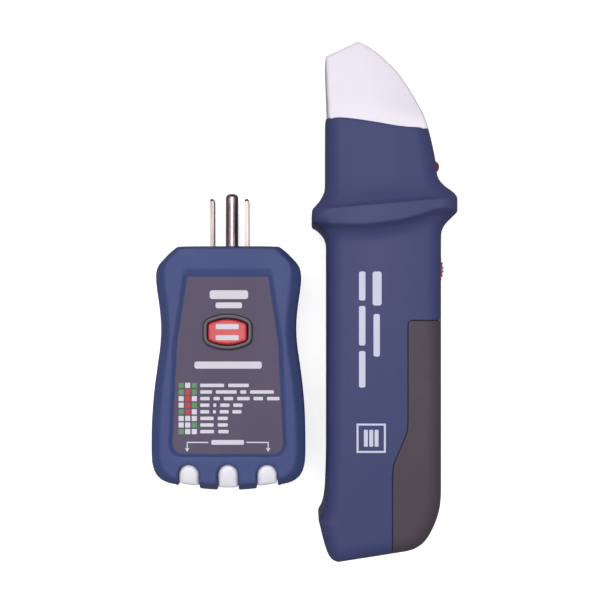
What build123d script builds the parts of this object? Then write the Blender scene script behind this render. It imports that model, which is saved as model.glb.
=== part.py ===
"""Circuit breaker finder: a hand-held receiver wand and its plug-in transmitter.

Both units lie on the table plane Z = 0.  +Y points to the probe tip and along the plug prongs,
+Z is up out of the receiver's side face and the transmitter's label face.  Millimetres.
"""

import os

from build123d import *

os.makedirs("parts", exist_ok=True)

# ---------------------------------------------------------------- driving sizes: receiver
RX_X, RX_Y, RX_Z = 29.1, 32.5, 19.0      # receiver datum: handle centre line, finger guard, mid plane
HALF_W = 20.55                           # half width of the handle (X)
HALF_T = 15.5                            # half thickness of the handle (Z)
WALL = 1.8                               # shell wall
LAP = 0.9                                # half-lap depth at the battery cover edge
TIP_HALF_T = 12.4                        # half thickness of the probe tip at its root
APEX_HALF_T = 8.5                        # half thickness at the apex
GUARD_W, GUARD_T = 26.0, 19.0            # half sizes of the finger guard
GUARD_TILT = 4.95                        # guard tilt about Z
GUARD_BAND = 5.2                         # height of the guard's flat rim
COVER_GAP = 0.15                         # reveal around the battery cover
WHEEL_R, WHEEL_T = 9.0, 4.2              # thumb wheel
WHEEL_U, WHEEL_V = 13.55, -20.9          # thumb wheel centre
LED_V = 17.0                             # signal lamp height above the guard
RX_PCB_W, PCB_T = -5.6, 1.6              # receiver board underside and board thickness
RX_SCREWS = [(-14.5, -106.0), (-15.0, -36.0), (13.5, -34.0), (-14.5, 20.5), (9.5, 4.0)]

# ---------------------------------------------------------------- driving sizes: transmitter
TX_X, TX_Y = -27.15, 19.9                # transmitter datum: centre of the plug end at table level
TX_LEN = 88.1
TX_T = 31.0                              # thickness
TX_SPLIT = 14.5                          # parting plane height
TX_WALL_TOP = 26.6                       # top of the side wall, where the bevel starts
LABEL_Z = 29.7                           # floor of the label recess
LENS_W, LENS_PITCH = 7.2, 14.1
LENS_TOP_V = -78.7
BUTTON_V = -31.0
BUTTON_W, BUTTON_H = 13.8, 9.0
BUTTON_TRAVEL = 1.0
BLADE_Z, PIN_Z = 18.4, 6.5               # the standard 11.9 mm from blade plane to ground pin
BLADE_PITCH, BLADE_W, BLADE_T, BLADE_L = 12.7, 6.35, 1.52, 17.7
PIN_R, PIN_L, PIN_ROOT_R = 2.38, 20.9, 2.1
TX_SCREWS = [(-19.6, -17.5), (19.6, -17.5), (-21.0, -69.5), (21.0, -69.5)]
TX_PCB_Z = 20.0

rx = Plane(origin=(RX_X, RX_Y, RX_Z))    # receiver frame, u to the thumb side, v to the tip
tx = Plane(origin=(TX_X, TX_Y, 0.0))     # transmitter frame


def write(shape, name):
    """Labels a finished piece and writes its STEP file."""
    shape.label = name
    export_step(shape, f"parts/{name}.step")


# ================================================================ receiver outer form
def handle_solid(inset):
    """The handle as a prism of its side outline, shrunk by inset, with its long edges rounded."""
    with BuildPart() as handle:
        with BuildSketch(rx.offset(-(HALF_T - inset))) as outline:
            with BuildLine():
                Polyline(
                    (20.55, -102.6), (20.55, 6.0), (-20.55, 6.0), (-20.55, -101.0),
                    (-23.9, -110.7), (-19.6, -127.2), (8.0, -122.55), (16.4, -118.2), close=True,
                )
            make_face()
            fillet(outline.vertices().sort_by_distance((20.55, -102.6, 0))[0], 26)
            fillet(outline.vertices().sort_by_distance((16.4, -118.2, 0))[0], 7.5)
            fillet(outline.vertices().sort_by_distance((8.0, -122.55, 0))[0], 14)
            fillet(outline.vertices().sort_by_distance((-20.55, -101.0, 0))[0], 16)
            fillet(outline.vertices().sort_by_distance((-23.9, -110.7, 0))[0], 2.2)
            fillet(outline.vertices().sort_by_distance((-19.6, -127.2, 0))[0], 5.4)
            if inset:
                offset(amount=-inset, kind=Kind.INTERSECTION)
        extrude(amount=2 * (HALF_T - inset))
        rims = handle.faces().sort_by(Axis.Z)
        fillet((rims[0].edges() + rims[-1].edges()), 4.2 - 0.8 * inset)
    return handle.part


def neck_solid():
    """Neck between finger guard and tip; its upper edge follows the S-shaped seam."""
    v_low = -6.0
    with BuildPart() as neck:
        with BuildSketch(rx.offset(-HALF_T)):
            with BuildLine():
                Polyline((-20.55, v_low), (-21.0, 6.0), (-21.0, 33.3), (-16.0, 33.3))
                Spline((-16.0, 33.3), (-1.6, 31.6), (11.0, 29.8), tangents=((1, 0), (1, 0)))
                Polyline((11.0, 29.8), (16.3, 29.8))
                Spline(
                    (16.3, 29.8), (17.7, 23.3), (19.1, 13.2), (20.3, 3.0), (20.55, v_low),
                    tangents=((0.22, -1.0), (0.0, -1.0)),
                )
                Line((20.55, v_low), (-20.55, v_low))
            make_face()
        extrude(amount=2 * HALF_T)
        # thickness tapers from the guard to the tip
        with BuildSketch(side):
            with BuildLine():
                Polyline(
                    (v_low - 1, HALF_T), (6.0, HALF_T), (36.0, 12.9),
                    (36.0, -12.9), (6.0, -HALF_T), (v_low - 1, -HALF_T),
                    close=True,
                )
            make_face()
        extrude(amount=80, mode=Mode.INTERSECT)
        left = neck.faces().sort_by(Axis.X)[0].edges().filter_by(lambda e: abs(e.center().Z - RX_Z) > 6)
        right = neck.faces().sort_by(Axis.X)[-1].edges().filter_by(lambda e: abs(e.center().Z - RX_Z) > 6)
        fillet(left + right, 4.2)
    return neck.part


def neck_hollow(wall, v_from, v_to):
    """Space inside the neck, bounded by plain walls that follow the outer form."""
    with BuildPart() as hollow:
        with BuildSketch(rx.offset(-HALF_T)):
            with BuildLine():
                Polyline(
                    (-20.55 + wall, -12.0), (-21.0 + wall, 6.0), (-21.0 + wall, 40.0),
                    (14.9 - wall, 40.0), (16.5 - wall, 29.8), (17.5 - wall, 23.3), (19.0 - wall, 13.2),
                    (20.2 - wall, 3.0), (20.55 - wall, -12.0), close=True,
                )
            make_face()
        extrude(amount=2 * HALF_T)
        with BuildSketch(side):
            with BuildLine():
                Polyline(
                    (-12.0, HALF_T - wall), (6.0, HALF_T - wall), (40.0, 12.56 - wall),
                    (40.0, -12.56 + wall), (6.0, -HALF_T + wall), (-12.0, -HALF_T + wall),
                    close=True,
                )
            make_face()
        extrude(amount=80, mode=Mode.INTERSECT)
        with BuildSketch(Plane(origin=(RX_X, RX_Y + v_from, RX_Z), x_dir=(1, 0, 0), z_dir=(0, 1, 0))):
            Rectangle(80, 80)
        extrude(amount=v_to - v_from, mode=Mode.INTERSECT)
    return hollow.part


def guard_solid(shrink):
    """Finger guard: a tilted rim that swells out of the handle and back into the neck."""
    if shrink:
        stations = [(-5.6, 18.4, 13.3, 3.0), (-1.2, 23.6, 16.8, 5.5), (1.2, 23.6, 16.8, 5.5), (5.6, 18.0, 13.3, 3.0)]
    else:
        stations = [
            (-9.6, 20.5, 15.45, 4.2), (-7.2, 21.2, 16.0, 4.6), (-5.2, 22.5, 16.9, 5.2), (-3.8, 24.2, 17.9, 6.2),
            (-GUARD_BAND / 2, GUARD_W - 0.1, GUARD_T, 7.5), (GUARD_BAND / 2, GUARD_W - 0.1, GUARD_T, 7.5),
            (3.8, 24.2, 17.8, 6.2), (5.6, 22.3, 16.6, 5.2), (8.2, 20.6, 15.6, 4.6), (11.5, 19.9, 15.0, 4.2),
        ]
    tilted = Plane(origin=rx.origin, x_dir=(1, 0, 0), z_dir=(0, 1, 0)).rotated((0, 0, GUARD_TILT))
    with BuildPart() as guard:
        for height, half_w, half_t, corner in stations:
            with BuildSketch(tilted.offset(height)):
                RectangleRounded(2 * half_w, 2 * half_t, corner)
        loft(ruled=True)
    return guard.part


def cover_region(grow, reach=30.0):
    """Prism through the side faces marking what belongs to the battery cover."""
    with BuildPart() as region:
        with BuildSketch(rx.offset(-reach)) as area:
            with BuildLine():
                Polyline(
                    (8.1, -39.4), (40.0, -39.4), (40.0, -140.0), (2.6, -140.0),
                    (2.6, -91.5), (8.1, -78.2), close=True,
                )
            make_face()
            fillet(area.vertices().sort_by_distance((8.1, -39.4, 0))[0], 1.6)
            fillet(area.vertices().sort_by_distance((2.6, -91.5, 0))[0], 7.0)
            fillet(area.vertices().sort_by_distance((8.1, -78.2, 0))[0], 7.0)
            if grow:
                offset(amount=grow, kind=Kind.ARC)
        extrude(amount=2 * reach)
    return region.part


def slab(plane, u0, u1, v0, v1, w0, w1):
    """Rectangular block given by its limits in a plane's own axes."""
    with BuildPart() as block:
        with BuildSketch(plane.offset(w0)):
            with Locations(((u0 + u1) / 2, (v0 + v1) / 2)):
                Rectangle(u1 - u0, v1 - v0)
        extrude(amount=w1 - w0)
    return block.part


def posts(plane, places, radius, w0, w1):
    """Equal round posts between two heights."""
    with BuildPart() as group:
        with BuildSketch(plane.offset(w0)):
            with Locations(*places):
                Circle(radius)
        extrude(amount=w1 - w0)
    return group.part


def wire(start, stops, end, start_dir, end_dir, radius):
    """Insulated lead swept along a smooth path in global axes."""
    with BuildPart() as lead:
        with BuildLine() as path:
            Spline(start, *stops, end, tangents=(start_dir, end_dir))
        with BuildSketch(Plane(origin=start, z_dir=start_dir)):
            Circle(radius)
        sweep(path=path.line)
    return lead.part


side = Plane(origin=(RX_X - 40, RX_Y, RX_Z), x_dir=(0, 1, 0), z_dir=(1, 0, 0))   # looks along +X
handle_outer = handle_solid(0.0)
handle_mid = handle_solid(LAP)
handle_mid_cover = handle_solid(LAP + 0.1)
handle_inner = handle_solid(WALL)
neck_outer = neck_solid()
neck_inner = neck_hollow(2.0, -12.0, 40.0)

with BuildPart() as outer_form:
    add(handle_outer)
    add(neck_outer)
    add(guard_solid(False))

with BuildPart() as body_shell:
    add(outer_form.part)
    add(handle_inner, mode=Mode.SUBTRACT)
    add(neck_inner, mode=Mode.SUBTRACT)
    add(guard_solid(True), mode=Mode.SUBTRACT)


with BuildPart() as outer_opening:       # cover opening in the outer half of the wall
    add(cover_region(COVER_GAP))
    add(handle_mid, mode=Mode.SUBTRACT)
with BuildPart() as inner_opening:       # wider opening in the inner half of the wall
    add(cover_region(1.5 + COVER_GAP))
    add(handle_mid, mode=Mode.INTERSECT)

with BuildPart() as opened_shell:
    add(body_shell.part)
    add(outer_opening.part, mode=Mode.SUBTRACT)
    add(inner_opening.part, mode=Mode.SUBTRACT)

with BuildPart() as bay_walls:           # back wall and two end walls of the battery bay
    add(slab(rx, -1.0, 0.6, -98.0, -41.5, -14.4, 14.4))
    add(slab(rx, 0.6, 6.3, -43.0, -41.5, -14.0, 14.0))
    add(slab(rx, 6.3, 17.1, -43.0, -41.5, -13.2, 13.2))
    add(slab(rx, 17.1, 18.2, -43.0, -41.5, -11.8, 11.8))
    add(slab(rx, 0.6, 17.1, -98.6, -97.1, -13.2, 13.2))
    add(slab(rx, 17.1, 18.2, -98.6, -97.1, -11.8, 11.8))
    add(slab(rx, -1.0, 0.6, -98.6, -98.0, -14.4, 14.4))
    add(slab(rx, 3.0, 11.0, -44.0, -40.0, -2.5, 2.5), mode=Mode.SUBTRACT)    # lead opening

led_plane = Plane(origin=(RX_X, RX_Y + LED_V, RX_Z), x_dir=(0, 1, 0), z_dir=(1, 0, 0))
wheel_plane = Plane(origin=(RX_X + WHEEL_U, RX_Y + WHEEL_V, RX_Z))

with BuildPart() as side_openings:       # lamp hole and thumb wheel slot in the thumb edge
    with BuildSketch(led_plane.offset(14.0)):
        Circle(2.65)
    extrude(amount=10)
    add(slab(rx, 16.0, 24.0, WHEEL_V - 8.0, WHEEL_V + 8.0, -2.5, 2.5))


# ================================================================ receiver shells
with BuildPart() as receiver_upper_shell:
    add(opened_shell.part)
    add(bay_walls.part)
    add(slab(rx, -30, 30, -140, 60, -30, 0), mode=Mode.SUBTRACT)
    add(posts(rx, RX_SCREWS[:3] + RX_SCREWS[4:], 3.0, 0.0, 14.2))
    add(posts(rx, RX_SCREWS[3:4], 3.0, 0.0, 12.6))
    add(posts(rx, RX_SCREWS, 1.25, -1.0, 9.0), mode=Mode.SUBTRACT)
    add(side_openings.part, mode=Mode.SUBTRACT)
write(receiver_upper_shell.part, "receiver_upper_shell")

with BuildPart() as receiver_lower_shell:
    add(opened_shell.part)
    add(bay_walls.part)
    add(slab(rx, -30, 30, -140, 60, 0, 30), mode=Mode.SUBTRACT)
    add(posts(rx, RX_SCREWS[:3] + RX_SCREWS[4:], 3.6, -14.2, 0.0))
    add(posts(rx, RX_SCREWS[3:4], 3.6, -12.6, 0.0))
    add(slab(rx, -19.2, -16.2, -20.0, 10.0, -14.2, RX_PCB_W - 0.05))      # ledges under the board
    add(slab(rx, 14.8, 18.9, -12.0, 0.0, -13.9, RX_PCB_W - 0.05))
    add(posts(rx, RX_SCREWS, 1.35, -20.0, 1.0), mode=Mode.SUBTRACT)
    add(posts(rx, RX_SCREWS, 2.7, -20.0, -7.0), mode=Mode.SUBTRACT)
    add(side_openings.part, mode=Mode.SUBTRACT)
write(receiver_lower_shell.part, "receiver_lower_shell")

with BuildPart() as cover_tongue:        # tongue that runs under the body's lip, clear of the end wall
    add(handle_mid_cover)
    add(cover_region(1.5), mode=Mode.INTERSECT)
    add(slab(rx, -40, 40, -84.0, -30.0, -30, 30), mode=Mode.INTERSECT)
with BuildPart() as battery_cover:
    add(handle_outer)
    add(cover_region(0.0), mode=Mode.INTERSECT)
    add(cover_tongue.part)
    add(handle_inner, mode=Mode.SUBTRACT)
write(battery_cover.part, "battery_cover")

# ================================================================ probe tip
with BuildPart() as tip_form:
    with BuildSketch(rx.offset(-TIP_HALF_T)) as tip_outline:
        with BuildLine():
            Polyline((16.6, 24.0), (-20.2, 24.0), (-20.2, 33.5), (-21.1, 55.9), (-9.4, 61.5))
            Spline(
                (-9.4, 61.5), (-5.05, 59.4), (-1.15, 56.5), (3.7, 51.8), (7.5, 46.9),
                (10.9, 41.4), (13.8, 35.4), (15.4, 30.2), (16.6, 24.0),
            )
        make_face()
        fillet(tip_outline.vertices().sort_by_distance((-21.1, 55.9, 0))[0], 1.0)
    extrude(amount=2 * TIP_HALF_T)
    with BuildSketch(side):
        with BuildLine():
            Polyline(
                (20.0, TIP_HALF_T), (33.0, TIP_HALF_T), (63.0, APEX_HALF_T),
                (63.0, -APEX_HALF_T), (33.0, -TIP_HALF_T), (20.0, -TIP_HALF_T), close=True,
            )
        make_face()
    extrude(amount=80, mode=Mode.INTERSECT)

with BuildPart() as tip_hollow:
    with BuildSketch(rx.offset(-TIP_HALF_T + 2.4)):
        with BuildLine():
            Polyline(
                (12.4, 26.0), (-18.3, 26.0), (-18.3, 33.5), (-19.2, 54.6), (-9.8, 59.0), (-5.8, 57.2),
                (-2.4, 54.8), (2.2, 50.4), (5.9, 45.6), (9.2, 40.4), (12.0, 34.4), close=True,
            )
        make_face()
    extrude(amount=2 * (TIP_HALF_T - 2.4))
    with BuildSketch(side):
        with BuildLine():
            Polyline(
                (20.0, TIP_HALF_T - 1.9), (33.0, TIP_HALF_T - 1.9), (60.0, APEX_HALF_T - 1.2),
                (60.0, -APEX_HALF_T + 1.2), (33.0, -TIP_HALF_T + 1.9), (20.0, -TIP_HALF_T + 1.9), close=True,
            )
        make_face()
    extrude(amount=80, mode=Mode.INTERSECT)

with BuildPart() as below_seam:          # everything on the neck's side of the seam
    with BuildSketch(rx.offset(-30)):
        with BuildLine():
            Polyline((11.0, 29.86), (30.0, 29.86), (30.0, -10.0), (-30.0, -10.0), (-30.0, 33.36), (-16.0, 33.36))
            Spline((-16.0, 33.36), (-1.6, 31.66), (11.0, 29.86), tangents=((1, 0), (1, 0)))
        make_face()
    extrude(amount=60)

with BuildPart() as probe_tip:
    add(tip_form.part)
    add(below_seam.part, mode=Mode.SUBTRACT)
    add(neck_hollow(2.15, 27.0, 36.0))
    add(tip_hollow.part, mode=Mode.SUBTRACT)
    add(neck_hollow(3.6, 26.0, 34.5), mode=Mode.SUBTRACT)
write(probe_tip.part, "probe_tip")

# ================================================================ receiver controls
with BuildPart() as signal_led:
    with BuildSketch(led_plane.offset(12.5)):
        Circle(2.9)
    extrude(amount=1.0)
    with BuildSketch(led_plane.offset(13.5)):
        Circle(2.5)
    extrude(amount=5.1)
    with Locations(Location((RX_X + 18.6, RX_Y + LED_V, RX_Z))):
        Sphere(2.5)
    for lead_v in (-1.27, 1.27):         # lead wires bent down to the board
        add(slab(rx, 10.4, 12.6, LED_V + lead_v - 0.25, LED_V + lead_v + 0.25, -0.25, 0.25))
        add(slab(rx, 10.4, 10.9, LED_V + lead_v - 0.25, LED_V + lead_v + 0.25, RX_PCB_W + PCB_T, 0.25))
write(signal_led.part, "signal_led")

with BuildPart() as sensitivity_wheel:
    with BuildSketch(wheel_plane.offset(-WHEEL_T / 2)):
        Circle(WHEEL_R)
    extrude(amount=WHEEL_T)
    fillet(sensitivity_wheel.edges(), 0.35)
    with BuildSketch(wheel_plane.offset(-WHEEL_T / 2)):
        with PolarLocations(WHEEL_R + 0.1, 36):
            Circle(0.55)
    extrude(amount=WHEEL_T, mode=Mode.SUBTRACT)
    with BuildSketch(wheel_plane.offset(WHEEL_T / 2)):
        Circle(6.6)
        Circle(3.0, mode=Mode.SUBTRACT)
    extrude(amount=-0.5, mode=Mode.SUBTRACT)
    with BuildSketch(wheel_plane.offset(-WHEEL_T / 2)):
        Circle(1.55)
    extrude(amount=WHEEL_T, mode=Mode.SUBTRACT)
write(sensitivity_wheel.part, "sensitivity_wheel")

with BuildPart() as pot_rotor:
    with BuildSketch(wheel_plane.offset(-3.3)):
        Circle(1.5)
    extrude(amount=5.9)
    with BuildSketch(wheel_plane.offset(2.6)):
        Rectangle(3.2, 0.6)
    extrude(amount=-0.7, mode=Mode.SUBTRACT)
    chamfer(pot_rotor.edges().group_by(Axis.Z)[0], 0.15)
write(pot_rotor.part, "pot_rotor")

with BuildPart() as sensitivity_pot:
    with BuildSketch(wheel_plane.offset(RX_PCB_W + PCB_T)):
        Rectangle(9.0, 9.0)
    extrude(amount=1.6)
    with BuildSketch(wheel_plane.offset(-3.4)):
        Circle(1.56)
    extrude(amount=1.2, mode=Mode.SUBTRACT)
    with BuildSketch(wheel_plane.offset(RX_PCB_W + PCB_T)):
        with Locations((-5.0, -2.5), (-5.0, 0.0), (-5.0, 2.5)):
            Rectangle(1.2, 0.8)
    extrude(amount=0.3)
write(sensitivity_pot.part, "sensitivity_pot")

# ================================================================ receiver electronics
board_top = RX_PCB_W + PCB_T
with BuildPart() as receiver_pcb:
    with BuildSketch(rx.offset(RX_PCB_W)):
        with BuildLine():
            Polyline((-16.9, -31.0), (9.0, -31.0), (17.0, -26.0), (17.0, 2.0), (14.4, 6.0), (14.4, 26.0), (-16.9, 26.0), close=True)
        make_face()
        with Locations(*RX_SCREWS):
            Circle(4.1, mode=Mode.SUBTRACT)
    extrude(amount=PCB_T)
write(receiver_pcb.part, "receiver_pcb")

with BuildPart() as receiver_chip:
    add(slab(rx, -10.0, 0.0, 1.0, 5.0, board_top + 0.15, board_top + 1.75))
    chamfer(receiver_chip.edges().group_by(Axis.Z)[-1], 0.25)
    with BuildSketch(rx.offset(board_top)):
        with GridLocations(1.27, 5.0, 7, 2):
            with Locations((-5.0, 3.0)):
                Rectangle(0.45, 1.2)
    extrude(amount=0.4)
write(receiver_chip.part, "receiver_chip")

with BuildPart() as electrolytic_capacitors:
    with BuildSketch(rx.offset(board_top)):
        with Locations((-12.0, -5.0), (-12.0, 10.0)):
            Circle(2.5)
    extrude(amount=7.0)
    fillet(electrolytic_capacitors.edges().group_by(Axis.Z)[-1], 0.5)
write(electrolytic_capacitors.part, "electrolytic_capacitors")

with BuildPart() as receiver_resistors:
    with BuildSketch(Plane(origin=(RX_X + 1.0, RX_Y, RX_Z + board_top + 0.95), x_dir=(0, 1, 0), z_dir=(1, 0, 0))):
        with Locations((-12.0, 0), (-8.5, 0), (-5.0, 0), (12.0, 0)):
            Circle(0.9)
    extrude(amount=3.6)
write(receiver_resistors.part, "receiver_resistors")

with BuildPart() as buzzer:
    with BuildSketch(rx.offset(board_top)):
        with Locations((-7.0, -18.0)):
            Circle(6.0)
    extrude(amount=8.0)
    fillet(buzzer.edges().group_by(Axis.Z)[-1], 0.6)
    with BuildSketch(rx.offset(board_top + 8.0)):
        with Locations((-7.0, -18.0)):
            Circle(1.2)
    extrude(amount=-2.0, mode=Mode.SUBTRACT)
write(buzzer.part, "buzzer")

with BuildPart() as ferrite_core:
    with BuildSketch(Plane(origin=(RX_X - 11.0, RX_Y + 29.0, RX_Z), x_dir=(1, 0, 0), z_dir=(0, 1, 0))):
        Circle(2.0)
    extrude(amount=26.0)
    chamfer(ferrite_core.edges(), 0.2)
write(ferrite_core.part, "ferrite_core")

core_base = Plane(origin=(RX_X - 11.0, RX_Y + 32.0, RX_Z), x_dir=(1, 0, 0), z_dir=(0, 1, 0))
with BuildPart() as pickup_bobbin:
    with BuildSketch(core_base):
        Circle(2.6)
    extrude(amount=18.0)
    with BuildSketch(core_base):
        Circle(4.8)
    extrude(amount=1.0)
    with BuildSketch(core_base.offset(17.0)):
        Circle(4.6)
    extrude(amount=1.0)
    add(slab(rx, -14.0, -8.0, 24.8, 32.5, board_top + 0.05, -2.15))
    with BuildSketch(core_base.offset(-10.0)):
        Circle(2.05)
    extrude(amount=40.0, mode=Mode.SUBTRACT)
write(pickup_bobbin.part, "pickup_bobbin")

with BuildPart() as pickup_winding:
    with BuildSketch(core_base.offset(1.05)):
        Circle(4.1)
        Circle(2.65, mode=Mode.SUBTRACT)
    extrude(amount=15.9)
write(pickup_winding.part, "pickup_winding")

with BuildPart() as tip_leds:
    for lamp_u, lamp_v in ((3.5, 33.0), (-2.0, 35.0)):
        with BuildSketch(Plane(origin=(RX_X + lamp_u, RX_Y + lamp_v, RX_Z - 2.4), x_dir=(1, 0, 0), z_dir=(0, 1, 0))):
            Circle(1.5)
        extrude(amount=3.4)
        with Locations(Location((RX_X + lamp_u, RX_Y + lamp_v + 3.4, RX_Z - 2.4))):
            Sphere(1.5)
        for lead_u in (-0.9, 0.9):
            add(slab(rx, lamp_u + lead_u - 0.2, lamp_u + lead_u + 0.2, 24.0, lamp_v + 0.1, -2.6, -2.2))
            add(slab(rx, lamp_u + lead_u - 0.2, lamp_u + lead_u + 0.2, 24.0, 24.4, board_top, -2.2))
write(tip_leds.part, "tip_leds")

# ================================================================ battery and its leads
with BuildPart() as nine_volt_battery:
    with BuildSketch(Plane(origin=(RX_X + 9.65, RX_Y - 96.5, RX_Z), x_dir=(1, 0, 0), z_dir=(0, 1, 0))):
        RectangleRounded(17.5, 26.5, 2.4)
    extrude(amount=46.0)
    fillet(nine_volt_battery.edges().group_by(Axis.Y)[0] + nine_volt_battery.edges().group_by(Axis.Y)[-1], 0.5)
write(nine_volt_battery.part, "nine_volt_battery")

terminal_plane = Plane(origin=(RX_X + 9.65, RX_Y - 50.5, RX_Z), x_dir=(1, 0, 0), z_dir=(0, 1, 0))
with BuildPart() as battery_terminals:
    with BuildSketch(terminal_plane):
        with Locations((0, 6.35)):
            Circle(2.85)
        with Locations((0, -6.35)):
            RegularPolygon(4.4, 6)
    extrude(amount=2.6)
    with BuildSketch(terminal_plane.offset(0.8)):
        with Locations((0, -6.35)):
            RegularPolygon(3.0, 6)
    extrude(amount=2.0, mode=Mode.SUBTRACT)
write(battery_terminals.part, "battery_terminals")

with BuildPart() as battery_snap:
    with BuildSketch(terminal_plane.offset(2.65)):
        RectangleRounded(12.4, 25.6, 5.0)
    extrude(amount=2.4)
    fillet(battery_snap.edges().group_by(Axis.Y)[-1], 0.6)
    add(slab(rx, 4.5, 9.5, -45.6, -44.3, -2.2, 2.2))
write(battery_snap.part, "battery_snap")

for lead_name, lead_w in (("battery_lead_red", 1.1), ("battery_lead_black", -1.1)):
    lead = wire(
        (RX_X + 7.0, RX_Y - 44.25, RX_Z + lead_w),
        [(RX_X + 5.6, RX_Y - 38.0, RX_Z + lead_w * 0.9), (RX_X + 1.5 + 1.6 * lead_w, RX_Y - 31.0, RX_Z - 1.0)],
        (RX_X + 0.5 + 1.8 * lead_w, RX_Y - 28.0, RX_Z + board_top + 0.2),
        (0, 1, 0), (0, 0.2, -1), 0.65,
    )
    write(lead, lead_name)

with BuildPart() as battery_foam_pad:
    add(slab(rx, 2.0, 17.0, -97.05, -96.55, -11.0, 11.0))
write(battery_foam_pad.part, "battery_foam_pad")

with BuildPart() as receiver_screws:
    with BuildSketch(rx.offset(-8.8)):
        with Locations(*RX_SCREWS):
            Circle(2.4)
    extrude(amount=1.8)
    with BuildSketch(rx.offset(-7.0)):
        with Locations(*RX_SCREWS):
            Circle(1.2)
    extrude(amount=14.0)
    with BuildSketch(rx.offset(-8.8)):
        with Locations(*RX_SCREWS):
            Rectangle(2.8, 0.6)
            Rectangle(0.6, 2.8)
    extrude(amount=1.1, mode=Mode.SUBTRACT)
write(receiver_screws.part, "receiver_screws")

# ================================================================ transmitter outer form
SIDE_POINTS = [
    (18.15, 0.0), (21.9, -3.05), (24.5, -5.9), (26.15, -9.6), (26.2, -13.1), (25.2, -20.4), (24.5, -29.0),
    (25.05, -38.6), (26.55, -49.5), (27.5, -60.4), (27.95, -71.3), (27.75, -79.2), (26.3, -82.7), (23.6, -84.9),
    (19.9, -86.2),
]
RIDGE_POINTS = [
    (16.9, -1.0), (19.4, -4.0), (21.4, -6.6), (22.75, -10.2), (22.8, -13.2), (21.8, -20.4), (21.1, -29.0),
    (21.65, -38.6), (23.15, -49.5), (24.1, -60.4), (24.55, -71.3), (24.4, -77.6), (23.4, -80.6), (21.6, -82.4),
    (18.6, -83.9),
]


def blend_points(share):
    """Flank points moved part of the way from the wall outline to the ridge outline."""
    return [
        (a[0] + (b[0] - a[0]) * share, a[1] + (b[1] - a[1]) * share) for a, b in zip(SIDE_POINTS, RIDGE_POINTS)
    ]


def inset_points(distance):
    """Flank points moved evenly inwards, for the inner faces of the wall."""
    moved = [(SIDE_POINTS[0][0] - 0.4 * distance, -distance)]
    for before, here, after in zip(SIDE_POINTS, SIDE_POINTS[1:], SIDE_POINTS[2:]):
        run, rise = after[0] - before[0], after[1] - before[1]
        length = (run ** 2 + rise ** 2) ** 0.5
        moved.append((here[0] + distance * rise / length, here[1] - distance * run / length))
    moved.append((SIDE_POINTS[-1][0] - 0.4 * distance, SIDE_POINTS[-1][1] + distance))
    return moved


def tx_outline(points, bottom_v):
    """Closed outline: plug end line, right flank, bottom arc, left flank."""
    mirrored = [(-x, y) for x, y in points]
    with BuildSketch() as outline:
        with BuildLine():
            Line(mirrored[0], points[0])
            Spline(*points)
            ThreePointArc(points[-1], (0.0, bottom_v), mirrored[-1])
            Spline(*reversed(mirrored))
        make_face()
    return outline.sketch


def tx_prism(inset, z0, z1):
    """Prism of the transmitter outline shrunk evenly by inset."""
    with BuildPart() as prism:
        with BuildSketch(tx.offset(z0)):
            add(tx_outline(inset_points(inset), -88.4 + inset))
        extrude(amount=z1 - z0)
    return prism.part


def label_outline(grow_side, top_v, bottom_v, corner):
    """Trapezoid with rounded lower corners on the front face."""
    with BuildSketch() as outline:
        with BuildLine():
            Polyline(
                (14.4 + grow_side, top_v), (18.0 + grow_side, -35.0), (19.95 + grow_side, bottom_v),
                (-19.95 - grow_side, bottom_v), (-18.0 - grow_side, -35.0), (-14.4 - grow_side, top_v), close=True,
            )
        make_face()
        for side_u in (1, -1):
            fillet(outline.vertices().sort_by_distance((side_u * (19.95 + grow_side), bottom_v, 0))[0], corner)
    return outline.sketch


def button_outline(grow):
    """Push button outline: straight ends, bowed long sides."""
    w, h = BUTTON_W / 2, BUTTON_H / 2
    with BuildSketch() as outline:
        with BuildLine():
            Line((-w, BUTTON_V - h + 1.6), (-w, BUTTON_V + h - 1.6))
            ThreePointArc((-w, BUTTON_V + h - 1.6), (0, BUTTON_V + h), (w, BUTTON_V + h - 1.6))
            Line((w, BUTTON_V + h - 1.6), (w, BUTTON_V - h + 1.6))
            ThreePointArc((w, BUTTON_V - h + 1.6), (0, BUTTON_V - h), (-w, BUTTON_V - h + 1.6))
        make_face()
        fillet(outline.vertices(), 1.3)
        if grow:
            offset(amount=grow, kind=Kind.ARC)
    return outline.sketch


with BuildPart() as tx_form:
    add(tx_prism(0.0, 3.2, TX_WALL_TOP))
    for z_low, share_low, z_high, share_high in ((0.0, 0.9, 0.9, 0.4), (0.9, 0.4, 3.2, 0.0)):
        with BuildSketch(tx.offset(z_low)):      # back edge eased in two steps
            add(tx_outline(blend_points(share_low), -88.4 + 2.0 * share_low))
        with BuildSketch(tx.offset(z_high)):
            add(tx_outline(blend_points(share_high), -88.4 + 2.0 * share_high))
        loft(ruled=True)
    with BuildSketch(tx.offset(TX_WALL_TOP)):
        add(tx_outline(inset_points(0.0), -88.4))
    with BuildSketch(tx.offset(TX_T)):
        add(tx_outline(RIDGE_POINTS, -86.0))
    loft(ruled=True)

with BuildPart() as tx_cavity:
    add(tx_prism(2.0, 2.2, 25.6))
    with BuildSketch(tx.offset(25.6)):
        add(tx_outline(inset_points(2.0), -86.4))
    with BuildSketch(tx.offset(27.1)):
        add(tx_outline(inset_points(3.1), -85.3))
    loft(ruled=True)


def lens_arches(half_w, z0, z1, centres):
    """Arched prisms at the lower end, one per lamp."""
    with BuildPart() as arches:
        for centre in centres:
            with BuildSketch(tx.offset(z0)):
                with Locations((centre, LENS_TOP_V - LENS_W / 2)):
                    Circle(half_w)
                with Locations((centre, LENS_TOP_V - LENS_W / 2 - 10)):
                    Rectangle(2 * half_w, 20)
            extrude(amount=z1 - z0)
    return arches.part


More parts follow.
